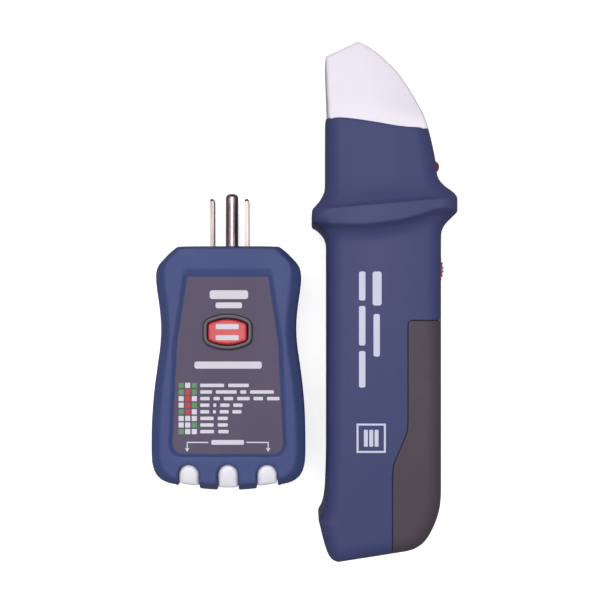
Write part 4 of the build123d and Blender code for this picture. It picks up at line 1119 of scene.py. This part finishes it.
def patch_points(loop, surface, proud, depth=0.06, spacing=2.5):
    """Thin printed film that follows a surface: verts and faces of a closed slab."""
    v, tri, loops = mesh_domain(resample_keep(ccw(np.asarray(loop, float)), 0.9), [], (0.25,), spacing)
    z = surface(v)
    n = len(v)
    verts = [(p[0], p[1], q + proud) for p, q in zip(v, z)] + [(p[0], p[1], q - depth) for p, q in zip(v, z)]
    faces = [tuple(t) for t in tri] + [tuple(int(i) + n for i in t[::-1]) for t in tri]
    loop = loops[0]
    for i in range(len(loop)):
        j = (i + 1) % len(loop)
        faces.append((loop[i], loop[j], loop[j] + n, loop[i] + n))
    return verts, faces


def rect(u0, u1, v0, v1, r=0.25):
    r = min(r, 0.49 * abs(u1 - u0), 0.49 * abs(v1 - v0))
    return corner_round([(u0, v0), (u1, v0), (u1, v1), (u0, v1)], r, 3)


def frame_parts(centre, half, line, r, surface, proud):
    """Four bars that make a square outline."""
    c, d = centre, half
    bars = [rect(c[0] - d, c[0] + d, c[1] + d - line, c[1] + d, 0.1), rect(c[0] - d, c[0] + d, c[1] - d, c[1] - d + line, 0.1),
            rect(c[0] - d, c[0] - d + line, c[1] - d + line, c[1] + d - line, 0.02), rect(c[0] + d - line, c[0] + d, c[1] - d + line, c[1] + d - line, 0.02)]
    return [patch_points(b, surface, proud) for b in bars]


# ------------------------------------------------------------------ materials
BLUE = srgb(66, 71, 113)
m_shell = plastic("moulded_blue", BLUE, srgb(50, 57, 94), rough=0.40, rough_var=0.08, grain=0.26, grain_mm=0.30, wear=0.22, tint=0.07, round_mm=0.22, spec=0.12)
m_shell_tx = plastic("moulded_blue_transmitter", srgb(69, 80, 127), srgb(53, 65, 108), rough=0.40, rough_var=0.08, grain=0.26, grain_mm=0.30, wear=0.22, tint=0.07, round_mm=0.22, spec=0.12)
m_cover = plastic("moulded_charcoal", srgb(79, 69, 80), srgb(59, 50, 62), rough=0.42, rough_var=0.10, grain=0.34, grain_mm=0.30, wear=0.16, tint=0.08, round_mm=0.22, spec=0.15)
m_tip = plastic("milky_tip", srgb(236, 229, 240), srgb(214, 204, 224), rough=0.38, rough_var=0.10, grain=0.15, grain_mm=0.5, wear=0.0, tint=0.02, round_mm=0.5, sss=0.25, spec=0.45)
m_lens = plastic("milky_lens", srgb(238, 237, 244), srgb(214, 212, 226), rough=0.24, rough_var=0.10, grain=0.06, grain_mm=0.5, wear=0.0, tint=0.02, round_mm=0.3, sss=0.3, spec=0.5)
m_label = plastic("matt_label_film", srgb(92, 82, 104), srgb(80, 71, 93), rough=0.58, rough_var=0.10, grain=0.22, grain_mm=0.18, wear=0.0, tint=0.05, round_mm=0.0, spec=0.18, mould=0.2)
m_print = plastic("pale_print", srgb(216, 213, 224), srgb(190, 187, 202), rough=0.6, rough_var=0.12, grain=0.2, grain_mm=0.2, wear=0.0, tint=0.05, round_mm=0.0, spec=0.3, mould=0.1)
m_print_body = plastic("pale_print_body", srgb(205, 210, 228), srgb(170, 178, 205), rough=0.6, rough_var=0.12, grain=0.2, grain_mm=0.2, wear=0.0, tint=0.08, round_mm=0.0, spec=0.3, mould=0.1)
m_print_red = plastic("red_print", srgb(205, 58, 66), srgb(170, 44, 56), rough=0.6, rough_var=0.1, grain=0.2, grain_mm=0.2, wear=0.0, tint=0.05, round_mm=0.0, spec=0.3, mould=0.1)
m_print_green = plastic("green_print", srgb(92, 150, 96), srgb(70, 120, 78), rough=0.6, rough_var=0.1, grain=0.2, grain_mm=0.2, wear=0.0, tint=0.05, round_mm=0.0, spec=0.3, mould=0.1)
m_button = plastic("button_red", srgb(208, 50, 58), srgb(170, 34, 44), rough=0.36, rough_var=0.10, grain=0.14, grain_mm=0.3, wear=0.12, tint=0.06, round_mm=0.3, spec=0.5)
m_wheel = plastic("wheel_red", srgb(196, 44, 60), srgb(150, 30, 46), rough=0.42, rough_var=0.12, grain=0.2, grain_mm=0.3, wear=0.2, tint=0.08, round_mm=0.15, spec=0.45)
m_black = plastic("moulded_black", srgb(36, 35, 38), srgb(22, 22, 24), rough=0.5, rough_var=0.12, grain=0.3, grain_mm=0.3, wear=0.12, tint=0.1, round_mm=0.15, spec=0.4)
m_bezel = plastic("bezel_black", srgb(44, 40, 50), srgb(30, 27, 36), rough=0.34, rough_var=0.10, grain=0.12, grain_mm=0.3, wear=0.2, tint=0.08, round_mm=0.2, spec=0.5)
m_white = plastic("moulded_white", srgb(226, 225, 220), srgb(205, 202, 196), rough=0.45, rough_var=0.1, grain=0.2, grain_mm=0.3, wear=0.0, tint=0.03, round_mm=0.15)
m_pin = metal("nickel_pin", srgb(158, 144, 146), rough=0.27, tarnish=(0.70, 0.64, 0.64))
m_blade = metal("washed_brass_blade", srgb(150, 141, 138), rough=0.40, tarnish=(0.70, 0.64, 0.60))
m_steel = metal("plated_steel", srgb(190, 190, 194), rough=0.28, tarnish=(0.75, 0.72, 0.70))
m_copper = metal("enamelled_copper", srgb(184, 100, 58), rough=0.3, tarnish=(0.7, 0.6, 0.55))
m_pcb = plastic("solder_mask", srgb(30, 92, 52), srgb(18, 62, 36), rough=0.3, rough_var=0.1, grain=0.3, grain_mm=0.6, wear=0.3, tint=0.12, round_mm=0.05, coat=0.3)
m_ferrite = plastic("sintered_ferrite", srgb(58, 58, 62), srgb(40, 40, 44), rough=0.6, rough_var=0.15, grain=0.6, grain_mm=0.5, wear=0.3, tint=0.15, round_mm=0.1)
m_sleeve = plastic("shrink_sleeve", srgb(42, 56, 108), srgb(30, 40, 84), rough=0.25, rough_var=0.08, grain=0.1, wear=0.1, tint=0.08, round_mm=0.2, coat=0.3)
m_resistor = plastic("lacquered_body", srgb(198, 174, 134), srgb(172, 146, 108), rough=0.35, rough_var=0.1, grain=0.2, wear=0.0, tint=0.08, round_mm=0.1, coat=0.2)
m_battery = plastic("battery_jacket", srgb(56, 56, 60), srgb(38, 38, 42), rough=0.3, rough_var=0.1, grain=0.1, grain_mm=0.5, wear=0.3, tint=0.1, round_mm=0.4, coat=0.3)
m_foam = plastic("closed_cell_foam", srgb(62, 62, 64), srgb(36, 36, 38), rough=0.85, rough_var=0.1, grain=1.0, grain_mm=0.9, wear=0.0, tint=0.25, round_mm=0.2, spec=0.2)
m_film = plastic("dipped_capacitor", srgb(212, 162, 50), srgb(184, 132, 36), rough=0.28, rough_var=0.1, grain=0.15, wear=0.0, tint=0.08, round_mm=0.4, coat=0.4)
m_cement = plastic("cement_case", srgb(222, 219, 208), srgb(196, 192, 180), rough=0.75, rough_var=0.12, grain=0.7, grain_mm=0.5, wear=0.0, tint=0.08, round_mm=0.2)


def wire_material(name, colour):
    return plastic(name, colour, None, rough=0.42, rough_var=0.1, grain=0.12, grain_mm=0.4, wear=0.0, tint=0.08, round_mm=0.0)


def lamp_material(name, colour, deep):
    g = plastic(name, colour, deep, rough=0.16, rough_var=0.06, grain=0.04, grain_mm=0.6, wear=0.0, tint=0.1, round_mm=0.1, coat=0.6, spec=0.6)
    g.bsdf.inputs["Transmission Weight"].default_value = 0.25
    g.bsdf.inputs["IOR"].default_value = 1.5
    return g


m_led_red = lamp_material("red_epoxy", srgb(156, 34, 42), srgb(104, 18, 26))
m_led_amber = lamp_material("amber_epoxy", srgb(222, 150, 60), srgb(170, 100, 30))
m_glass = lamp_material("fuse_glass", srgb(214, 222, 222), srgb(180, 192, 192))
CAD_MATERIALS = {
    "signal_led": m_led_red, "sensitivity_wheel": m_wheel, "pot_rotor": m_black, "sensitivity_pot": m_black, "receiver_pcb": m_pcb,
    "ferrite_core": m_ferrite, "pickup_winding": m_copper, "pickup_bobbin": m_white, "tip_leds": m_lens, "receiver_chip": m_black,
    "electrolytic_capacitors": m_sleeve, "receiver_resistors": m_resistor, "buzzer": m_black, "nine_volt_battery": m_battery,
    "battery_terminals": m_steel, "battery_snap": m_black, "battery_lead_red": wire_material("wire_red", srgb(196, 36, 40)),
    "battery_lead_black": wire_material("wire_black", srgb(34, 34, 36)), "receiver_screws": m_steel, "battery_foam_pad": m_foam,
    "gfci_test_button": m_button, "button_return_spring": m_steel, "test_switch_body": m_black, "test_switch_plunger": m_white,
    "wiring_led_left": m_led_red, "wiring_led_centre": m_led_amber, "wiring_led_right": m_led_amber,
    "hot_blade": m_blade, "neutral_blade": m_blade, "ground_pin": m_pin, "prong_carrier": m_black, "transmitter_pcb": m_pcb,
    "transmitter_chip": m_black, "film_capacitor": m_film, "ceramic_resistors": m_cement, "fuse": m_glass, "transmitter_screws": m_steel,
    "hot_wire": wire_material("wire_black_mains", srgb(38, 38, 40)), "neutral_wire": wire_material("wire_white", srgb(224, 224, 222)),
    "ground_wire": wire_material("wire_green", srgb(44, 132, 70)),
}
for node_name, g in CAD_MATERIALS.items():
    obj = NODES[node_name]
    if len(obj.material_slots) == 0:
        obj.data.materials.append(g.mat)
    for s in obj.material_slots:
        s.material = g.mat

# ------------------------------------------------------------------ receiver
form = build_receiver()
upper = half_solid("receiver_body_upper", 1, form, m_shell, "receiver", ("receiver_upper_shell",))
lower = half_solid("receiver_body_lower", -1, form, m_shell, "receiver", ("receiver_lower_shell",))
cover = cover_solid(form, m_cover)
RX_SCREWS = [(-14.5, -106), (-15, -36), (13.5, -34), (-14.5, 20.5), (9.5, 4)]


def box_cutter(u0, u1, v0, v1, w0, w1):
    loop = resample(rect(u0, u1, v0, v1, 0.3), 0.8)
    return ring_solid("cutter", [(loop, w0), (loop, w1)], RXO)


def cylinder_cutter(centre, r, h0, h1, origin, steps=40):
    a = np.linspace(0, 2 * math.pi, steps, endpoint=False)
    loop = np.stack([centre[0] + r * np.cos(a), centre[1] + r * np.sin(a)], 1)
    return ring_solid("cutter", [(loop, h0), (loop, h1)], origin)


def side_hole_cutter(v, r, u0, u1, steps=40):
    verts, faces = [], []
    for u in (u0, u1):
        for i in range(steps):
            a = 2 * math.pi * i / steps
            verts.append((u, v + r * math.cos(a), r * math.sin(a)))
    for i in range(steps):
        j = (i + 1) % steps
        faces.append((i, j, steps + j, steps + i))
    faces += [tuple(range(steps))[::-1], tuple(range(steps, 2 * steps))]
    return to_object("cutter", verts, faces, None, None, RXO)


def cut_all(target, cutters, angle=38.0):
    bpy.context.view_layer.update()
    for c in cutters:
        boolean(target, c)
    tidy(target)
    shade(target, angle)


for part in (upper, lower, cover):
    cutters = [receiver_cavity()]
    if part is not cover:
        cutters += [box_cutter(16.0, 24.0, -28.9, -12.9, -2.5, 2.5), side_hole_cutter(17.0, 2.65, 14.0, 24.0)]
    if part is lower:
        cutters += [cylinder_cutter(c, 2.7, -20.0, -7.0, RXO) for c in RX_SCREWS]
    cut_all(part, cutters)

boss = merge_parts([revolve_points([(3.6, -13.9), (3.6, -0.2), (3.4, 0.0), (1.35, 0.0), (1.35, -7.0), (2.7, -7.0), (2.7, -13.9)],
                                   c) for c in RX_SCREWS])
to_object("receiver_screw_bosses", boss[0], boss[1], m_shell, "receiver", RXO, "shell_blue")

bay_loop = resample_keep(corner_round([(-1, -98.6), (16.9, -98.6), (16.9, -97.1), (0.6, -97.1), (0.6, -43), (16.9, -43), (16.9, -41.5), (-1, -41.5)],
                                      [0.5, 0.3, 0.3, 0.4, 0.4, 0.3, 0.3, 0.5], 3), 3.0)
bay_in = normals_of(bay_loop)
ring_solid("battery_bay", [(bay_loop + bay_in * 0.15, -13.2), (bay_loop, -13.05), (bay_loop, 13.05), (bay_loop + bay_in * 0.15, 13.2)],
           RXO, m_shell, "receiver", slot="shell_blue")

TIP_FACE = [(-20.15, 31.4), (-20.2, 33.5), (-20.5, 41.0), (-20.8, 48.5), (-21.1, 55.9), (-9.4, 61.5), (-7.2, 60.6), (-5.05, 59.45), (-3.1, 58.1), (-1.15, 56.55),
            (1.3, 54.3), (3.7, 51.85), (5.7, 49.5), (7.5, 46.95), (9.25, 44.3), (10.9, 41.5), (12.4, 38.6), (13.8, 35.6), (14.6, 33.6),
            (15.3, 31.7), (16.0, 29.5)]


def tip_outline(inset=0.0, root_drop=0.5):
    top = corner_round(TIP_FACE, [0] * 4 + [1.1, 0.9] + [0] * 15, 6)
    keep = [p for p in top]
    us = np.linspace(16.0, -20.15, 28)
    root = np.stack([us, f_seam(us) - root_drop], 1)
    keep = [p for p in keep if p[1] > float(f_seam(p[0])) - root_drop + 0.05]
    loop = ccw(np.vstack([keep, root[(root[:, 0] < keep[-1][0] - 0.2) & (root[:, 0] > keep[0][0] + 0.2)]]))
    loop = resample(loop, 0.5)
    return loop + normals_of(loop) * inset if inset else loop


tip_edge = np.array(corner_round(TIP_FACE, [0] * 4 + [1.1, 0.9] + [0] * 15, 6))


def tip_w(p, thin=0.0):
    base = pchip([20, 33, 45, 56, 62], [12.4, 12.4, 11.1, 9.6, 8.7], np.clip(p[:, 1], 20, 62))
    d = seg_distance(p, tip_edge)
    crease = np.interp(p[:, 1], [30, 38, 57, 62], [-2.2, -3.6, -6.5, -7.2])
    side = p[:, 0] - crease
    soft = 0.5 * (side + np.sqrt(side ** 2 + 1.0))
    amount = smoothstep(31.5, 42, p[:, 1])
    base = base - amount * (0.085 * soft + 0.0035 * soft ** 2) - (1 - amount) * 0.0012 * (p[:, 0] + 3) ** 2
    left = np.clip(-side - 4, 0, None)
    base = base - 0.003 * left ** 2
    return base - roundoff(d, 1.3) - thin


tip_loop = tip_outline()
tip = double_height_solid("probe_tip_shell", tip_loop, tuple(clusters(1.3, 8)[1:]), 1.3, tip_w, m_tip, "receiver", RXO,
                          slot="tip_white", replaces=("probe_tip",), angle=50)
inner = double_height_solid("tip_cutter", resample(tip_outline(1.7, 2.5), 1.6), (0.6,), 2.6, lambda p: np.maximum(tip_w(p, 1.9), 1.0), None, None, RXO)
cut_all(tip, [inner], 50)

# ------------------------------------------------------------------ transmitter
TX_SCREWS = [(-19.6, -17.5), (19.6, -17.5), (-21.0, -69.5), (21.0, -69.5)]
front = build_front_shell(m_shell_tx)
cut_all(front, [tx_cavity_cutter()], 42)
back = build_back_shell(m_shell_tx)
cut_all(back, [tx_cavity_cutter()] + [cylinder_cutter(c, 2.7, -5.0, 6.5, TXO) for c in TX_SCREWS], 42)
boss = merge_parts([revolve_points([(3.8, 2.0), (2.7, 2.0), (2.7, 6.5), (1.35, 6.5), (1.35, 14.4), (3.6, 14.4), (3.8, 14.2)], c) for c in TX_SCREWS])
to_object("transmitter_screw_bosses", boss[0], boss[1], m_shell_tx, "transmitter", TXO, "shell_blue")

ring = []
for grow, z in ((2.05, 29.8), (2.05, 30.75), (1.95, 31.0), (1.72, 31.16), (1.45, 31.2), (0.75, 31.2), (0.45, 31.14), (0.27, 30.95), (0.2, 30.7), (0.2, 28.4), (0.9, 28.4), (0.95, 29.8)):
    ring.append((button_loop(grow), z))
torus_stack("button_bezel", ring, TXO, m_bezel, "transmitter", slot="black_plastic")


def lens_loop(c):
    top = arch(c, 3.6, -78.85, -84.0, steps=30)
    low = TX_OUT[(TX_OUT[:, 1] < -80)]
    us = np.linspace(c - 3.6, c + 3.6, 15)[1:-1]
    order = np.argsort(low[:, 0])
    vs = np.interp(us, low[order, 0], low[order, 1]) + 1.1
    end_l = (c - 3.6, float(np.interp(c - 3.6, low[order, 0], low[order, 1])) + 1.6)
    end_r = (c + 3.6, float(np.interp(c + 3.6, low[order, 0], low[order, 1])) + 1.6)
    loop = np.vstack([top[:-2], [end_l], np.stack([us, vs], 1), [end_r]])
    return resample(ccw(loop), 0.4)


def lens_solid(name, c, node):
    loop = lens_loop(c)
    line = close_line(loop)
    def z(p):
        d = seg_distance(p, line)
        fall = smoothstep(-82.0, -88.0, p[:, 1]) * 1.1
        return 29.55 - roundoff(d, 1.5) * 0.8 - 0.35 * ((p[:, 0] - c) / 3.6) ** 2 - fall
    return height_solid(name, loop, [], (0.05, 0.15, 0.3, 0.5, 0.75, 1.1, 1.5), 0.9, z, 14.55, m_lens, "transmitter", TXO,
                        slot="lens_white", replaces=(node,), angle=50)


for name, c, node in (("lens_left", -14.1, "indicator_lens_left"), ("lens_centre", 0.0, "indicator_lens_centre"), ("lens_right", 14.1, "indicator_lens_right")):
    lens_solid(name, c, node)

def coil(centre, radius, wire, z0, height, pitch, around=44, sides=12):
    """A closed wire swept along a helix."""
    t = np.linspace(0, 2 * math.pi * height / pitch, int(around * height / pitch) + 1)
    rise = pitch / (2 * math.pi)
    out = np.stack([np.cos(t), np.sin(t), np.zeros(len(t))], 1)
    line = np.array([centre[0], centre[1], z0]) + radius * out + np.stack([0 * t, 0 * t, rise * t], 1)
    along = np.stack([-radius * np.sin(t), radius * np.cos(t), np.full(len(t), rise)], 1)
    along /= np.linalg.norm(along, axis=1)[:, None]
    up = np.cross(out, along)
    a = 2 * math.pi * np.arange(sides) / sides
    verts = (line[:, None] + wire * (np.cos(a)[None, :, None] * out[:, None] + np.sin(a)[None, :, None] * up[:, None])).reshape(-1, 3)
    faces = [(i * sides + k, i * sides + (k + 1) % sides, (i + 1) * sides + (k + 1) % sides, (i + 1) * sides + k)
             for i in range(len(t) - 1) for k in range(sides)]
    return verts, faces + [tuple(range(sides))[::-1], tuple(range((len(t) - 1) * sides, len(t) * sides))]


# the spring shortens by the button's travel: its CAD node can't, so this coil stands for it
wire, turns = coil((0.0, -31.0), 5.2, 0.25, 21.9, 4.0, 1.24)
spring = to_object("return_spring_coil", wire, turns, m_steel, "transmitter", TXO, "plated_steel")
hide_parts("button_return_spring")
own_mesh(spring)

label_loop = resample(corner_round([(14.4, -11.25), (-14.4, -11.25), (-18.0, -35.0), (-19.95, -74.7), (19.95, -74.7), (18.0, -35.0)],
                                   [0.5, 0.5, 30, 3.6, 3.6, 30], 9), 0.8)
label_hole = resample(button_loop(1.2), 0.8)
height_solid("face_label_film", label_loop, [label_hole], (0.08, 0.3), 4.0, lambda p: np.full(len(p), 30.03), 29.66, m_label, "transmitter", TXO,
             slot="label_grey", replaces=("face_label",))

# ------------------------------------------------------------------ printing: plain bars and squares only
SC = 0.00093766 * (413 - 29.75)


def tx_px(x, y):
    return ((x - 304) * SC + 0.25 + 27.15, (304 - y) * SC - 1.08 - 19.9)


def px_rect(x0, x1, y0, y1, r=0.25):
    a, b = tx_px(x0, y1), tx_px(x1, y0)
    return rect(a[0], b[0], a[1], b[1], r)


LABEL_TOP = lambda p: np.full(len(p), 30.03)
white, red, green = [], [], []
white.append(px_rect(209.8, 248.2, 290.3, 299.0, 0.9))
white.append(px_rect(215.7, 242.0, 302.4, 308.2, 0.6))
white.append(px_rect(194.5, 261.8, 361.5, 368.6, 0.8))
ends = [249.3, 274.3, 280.0, 243.0, 242.0, 228.3, 228.3, 229.2]
rows_ = ["GWG", "GRG", "WRW", "WRG", "GRW", "WWW", "WWG", "GWW"]
words = [(7, 6), (4, 7, 2, 8), (3, 2, 3, 4, 3, 4), (3, 1, 3, 3), (3, 1, 3, 3), (4, 3), (4, 3), (4, 3)]


def dashes(x0, x1, counts, gap=1.25):
    """Short bars along a line, in lengths that follow the counts."""
    unit = (x1 - x0) / (sum(counts) + gap * (len(counts) - 1))
    spans, x = [], x0
    for c in counts:
        spans.append((x, x + c * unit))
        x += (c + gap) * unit
    return spans


for n, (end, row) in enumerate(zip(ends, rows_)):
    y = 385.3 + 6.6 * n
    for x0, x1 in dashes(200.3, end - 0.5, words[n]):
        white.append(px_rect(x0, x1, y - 1.7, y + 1.7, 0.3))
    for x, kind in zip((181.3, 187.8, 194.4), row):
        {"W": white, "R": red, "G": green}[kind].append(px_rect(x - 2.55, x + 2.55, y - 2.55, y + 2.55, 0.12))
white.append(px_rect(186.8, 208.4, 441.7, 442.9, 0.1))
white.append(px_rect(246.5, 268.7, 441.7, 442.9, 0.1))
white.append(px_rect(211.5, 244.0, 439.9, 444.6, 0.4))
for x in (187.3, 268.2):
    white.append(px_rect(x - 0.55, x + 0.55, 442.6, 448.4, 0.05))
    a, b, c = tx_px(x - 2.2, 447.9), tx_px(x + 2.2, 447.9), tx_px(x, 451.8)
    white.append(np.array([a, c, b]))
for name, loops, mat in (("label_print_white", white, m_print), ("label_print_red", red, m_print_red), ("label_print_green", green, m_print_green)):
    v, f = merge_parts([patch_points(q, LABEL_TOP, 0.035) for q in loops])
    to_object(name, v, f, mat, "transmitter", TXO, "label_grey")
btn = [rect(-4.1, 4.1, -29.95, -28.15, 0.4), rect(-4.1, 4.1, -33.9, -32.1, 0.4)]
v, f = merge_parts([patch_points(q, lambda p: np.full(len(p), 32.2), 0.035) for q in btn])
to_object("button_print", v, f, m_print, "gfci_button", TXO, "button_red")

SR = 0.00093766 * (413 - 34.4)


def rx_px(x, y):
    return ((x - 304) * SR + 0.25 - 29.1, (304 - y) * SR - 1.08 - 32.5)


def rx_rect(x0, x1, y0, y1, r=0.3):
    a, b = rx_px(x0, y1), rx_px(x1, y0)
    return rect(a[0], b[0], a[1], b[1], r)


def handle_top(p):
    return form["edge_w"](np.asarray(p, float), np.full(len(p), 15.5))


bars = [rx_rect(372.6, 381.6, 271.5, 305.5, 0.8), rx_rect(373.5, 379.8, 314.0, 356.5, 0.6), rx_rect(359.0, 365.4, 271.5, 300.5, 0.6),
        rx_rect(359.0, 365.4, 306.0, 345.5, 0.6), rx_rect(359.0, 365.4, 351.0, 387.5, 0.6)]
parts = [patch_points(b, handle_top, 0.035) for b in bars]
mark = rx_px(371.2, 438.2)
parts += frame_parts(mark, 5.2, 0.7, 0.3, handle_top, 0.035)
parts += [patch_points(rect(mark[0] - 2.6 + q, mark[0] - 1.2 + q, mark[1] - 3.0, mark[1] + 3.0, 0.3), handle_top, 0.035) for q in (0.0, 1.9, 3.8)]
v, f = merge_parts(parts)
to_object("handle_print", v, f, m_print_body, "receiver", RXO, "shell_blue")

# ------------------------------------------------------------------ floor, light, camera
FLOOR = -0.0006


def stage_floor():
    mesh = bpy.data.meshes.new("floor")
    n, half = 24, 1.6
    verts = [(-half + 2 * half * i / n, -half + 2 * half * j / n, FLOOR) for i in range(n + 1) for j in range(n + 1)]
    faces = [(i * (n + 1) + j, (i + 1) * (n + 1) + j, (i + 1) * (n + 1) + j + 1, i * (n + 1) + j + 1) for i in range(n) for j in range(n)]
    mesh.from_pydata(verts, [], faces)
    obj = bpy.data.objects.new("floor", mesh)
    bpy.context.scene.collection.objects.link(obj)
    g = Nodes("pale_floor")
    cloud = g.noise(3.0, 2.0, 0.5)
    pale = g.ramp(cloud, [(0.3, (0.90, 0.90, 0.905, 1)), (0.7, (0.93, 0.93, 0.93, 1))])
    seen = g.add("ShaderNodeLightPath").outputs["Is Camera Ray"]
    g.link(g.mix(seen, (0.30, 0.30, 0.31, 1), pale), g.bsdf.inputs["Base Color"])
    g.bsdf.inputs["Roughness"].default_value = 0.9
    g.bsdf.inputs["Specular IOR Level"].default_value = 0.1
    g.bsdf.inputs["Emission Color"].default_value = (1, 1, 1, 1)
    g.link(g.math("MULTIPLY", seen, 0.60), g.bsdf.inputs["Emission Strength"])
    obj.data.materials.append(g.mat)
    return obj


stage_floor()
world = bpy.context.scene.world or bpy.data.worlds.new("studio")
bpy.context.scene.world = world
world.use_nodes = True
bg = world.node_tree.nodes["Background"]
wt = world.node_tree
direction = wt.nodes.new("ShaderNodeTexCoord")
split = wt.nodes.new("ShaderNodeSeparateXYZ")
height = wt.nodes.new("ShaderNodeMapRange")
wt.links.new(direction.outputs["Generated"], split.inputs[0])
wt.links.new(split.outputs["Z"], height.inputs[0])
for i, value in enumerate((0.05, 0.95, 0.10, 0.42)):
    height.inputs[i + 1].default_value = value
path = wt.nodes.new("ShaderNodeLightPath")
seen_sky = wt.nodes.new("ShaderNodeMath")
seen_sky.operation = "MAXIMUM"
wt.links.new(height.outputs[0], seen_sky.inputs[0])
wt.links.new(path.outputs["Is Camera Ray"], seen_sky.inputs[1])
wt.links.new(seen_sky.outputs[0], bg.inputs["Strength"])
bg.inputs["Color"].default_value = (0.97, 0.98, 1.0, 1)


def area(name, place, target, size, power, colour=(1, 1, 1)):
    data = bpy.data.lights.new(name, "AREA")
    data.shape = "RECTANGLE"
    data.size, data.size_y = size
    data.energy = power
    data.color = colour
    obj = bpy.data.objects.new(name, data)
    bpy.context.scene.collection.objects.link(obj)
    obj.location = place
    obj.rotation_euler = (Vector(target) - Vector(place)).to_track_quat("-Z", "Y").to_euler()
    return obj


area("key_top", (-0.04, 0.20, 1.10), (0, 0, 0.02), (0.75, 0.7), 7.0)
area("strip_left", (-0.56, 0.05, 0.98), (0, 0, 0.02), (0.10, 1.1), 1.55)
area("strip_right", (0.60, 0.05, 0.98), (0, 0, 0.02), (0.10, 1.1), 1.25)

cam_data = bpy.data.cameras.new("camera")
cam_data.sensor_width = 36.0
cam_data.lens = 63.15
cam_data.clip_start, cam_data.clip_end = 0.01, 20.0
cam = bpy.data.objects.new("camera", cam_data)
bpy.context.scene.collection.objects.link(cam)
cam.location = (0.00025, -0.00108, 0.413)
cam.rotation_euler = (0.0, 0.0, 0.0)
bpy.context.scene.camera = cam
bpy.context.scene.view_settings.view_transform = "Standard"
bpy.context.scene.view_settings.look = "None"
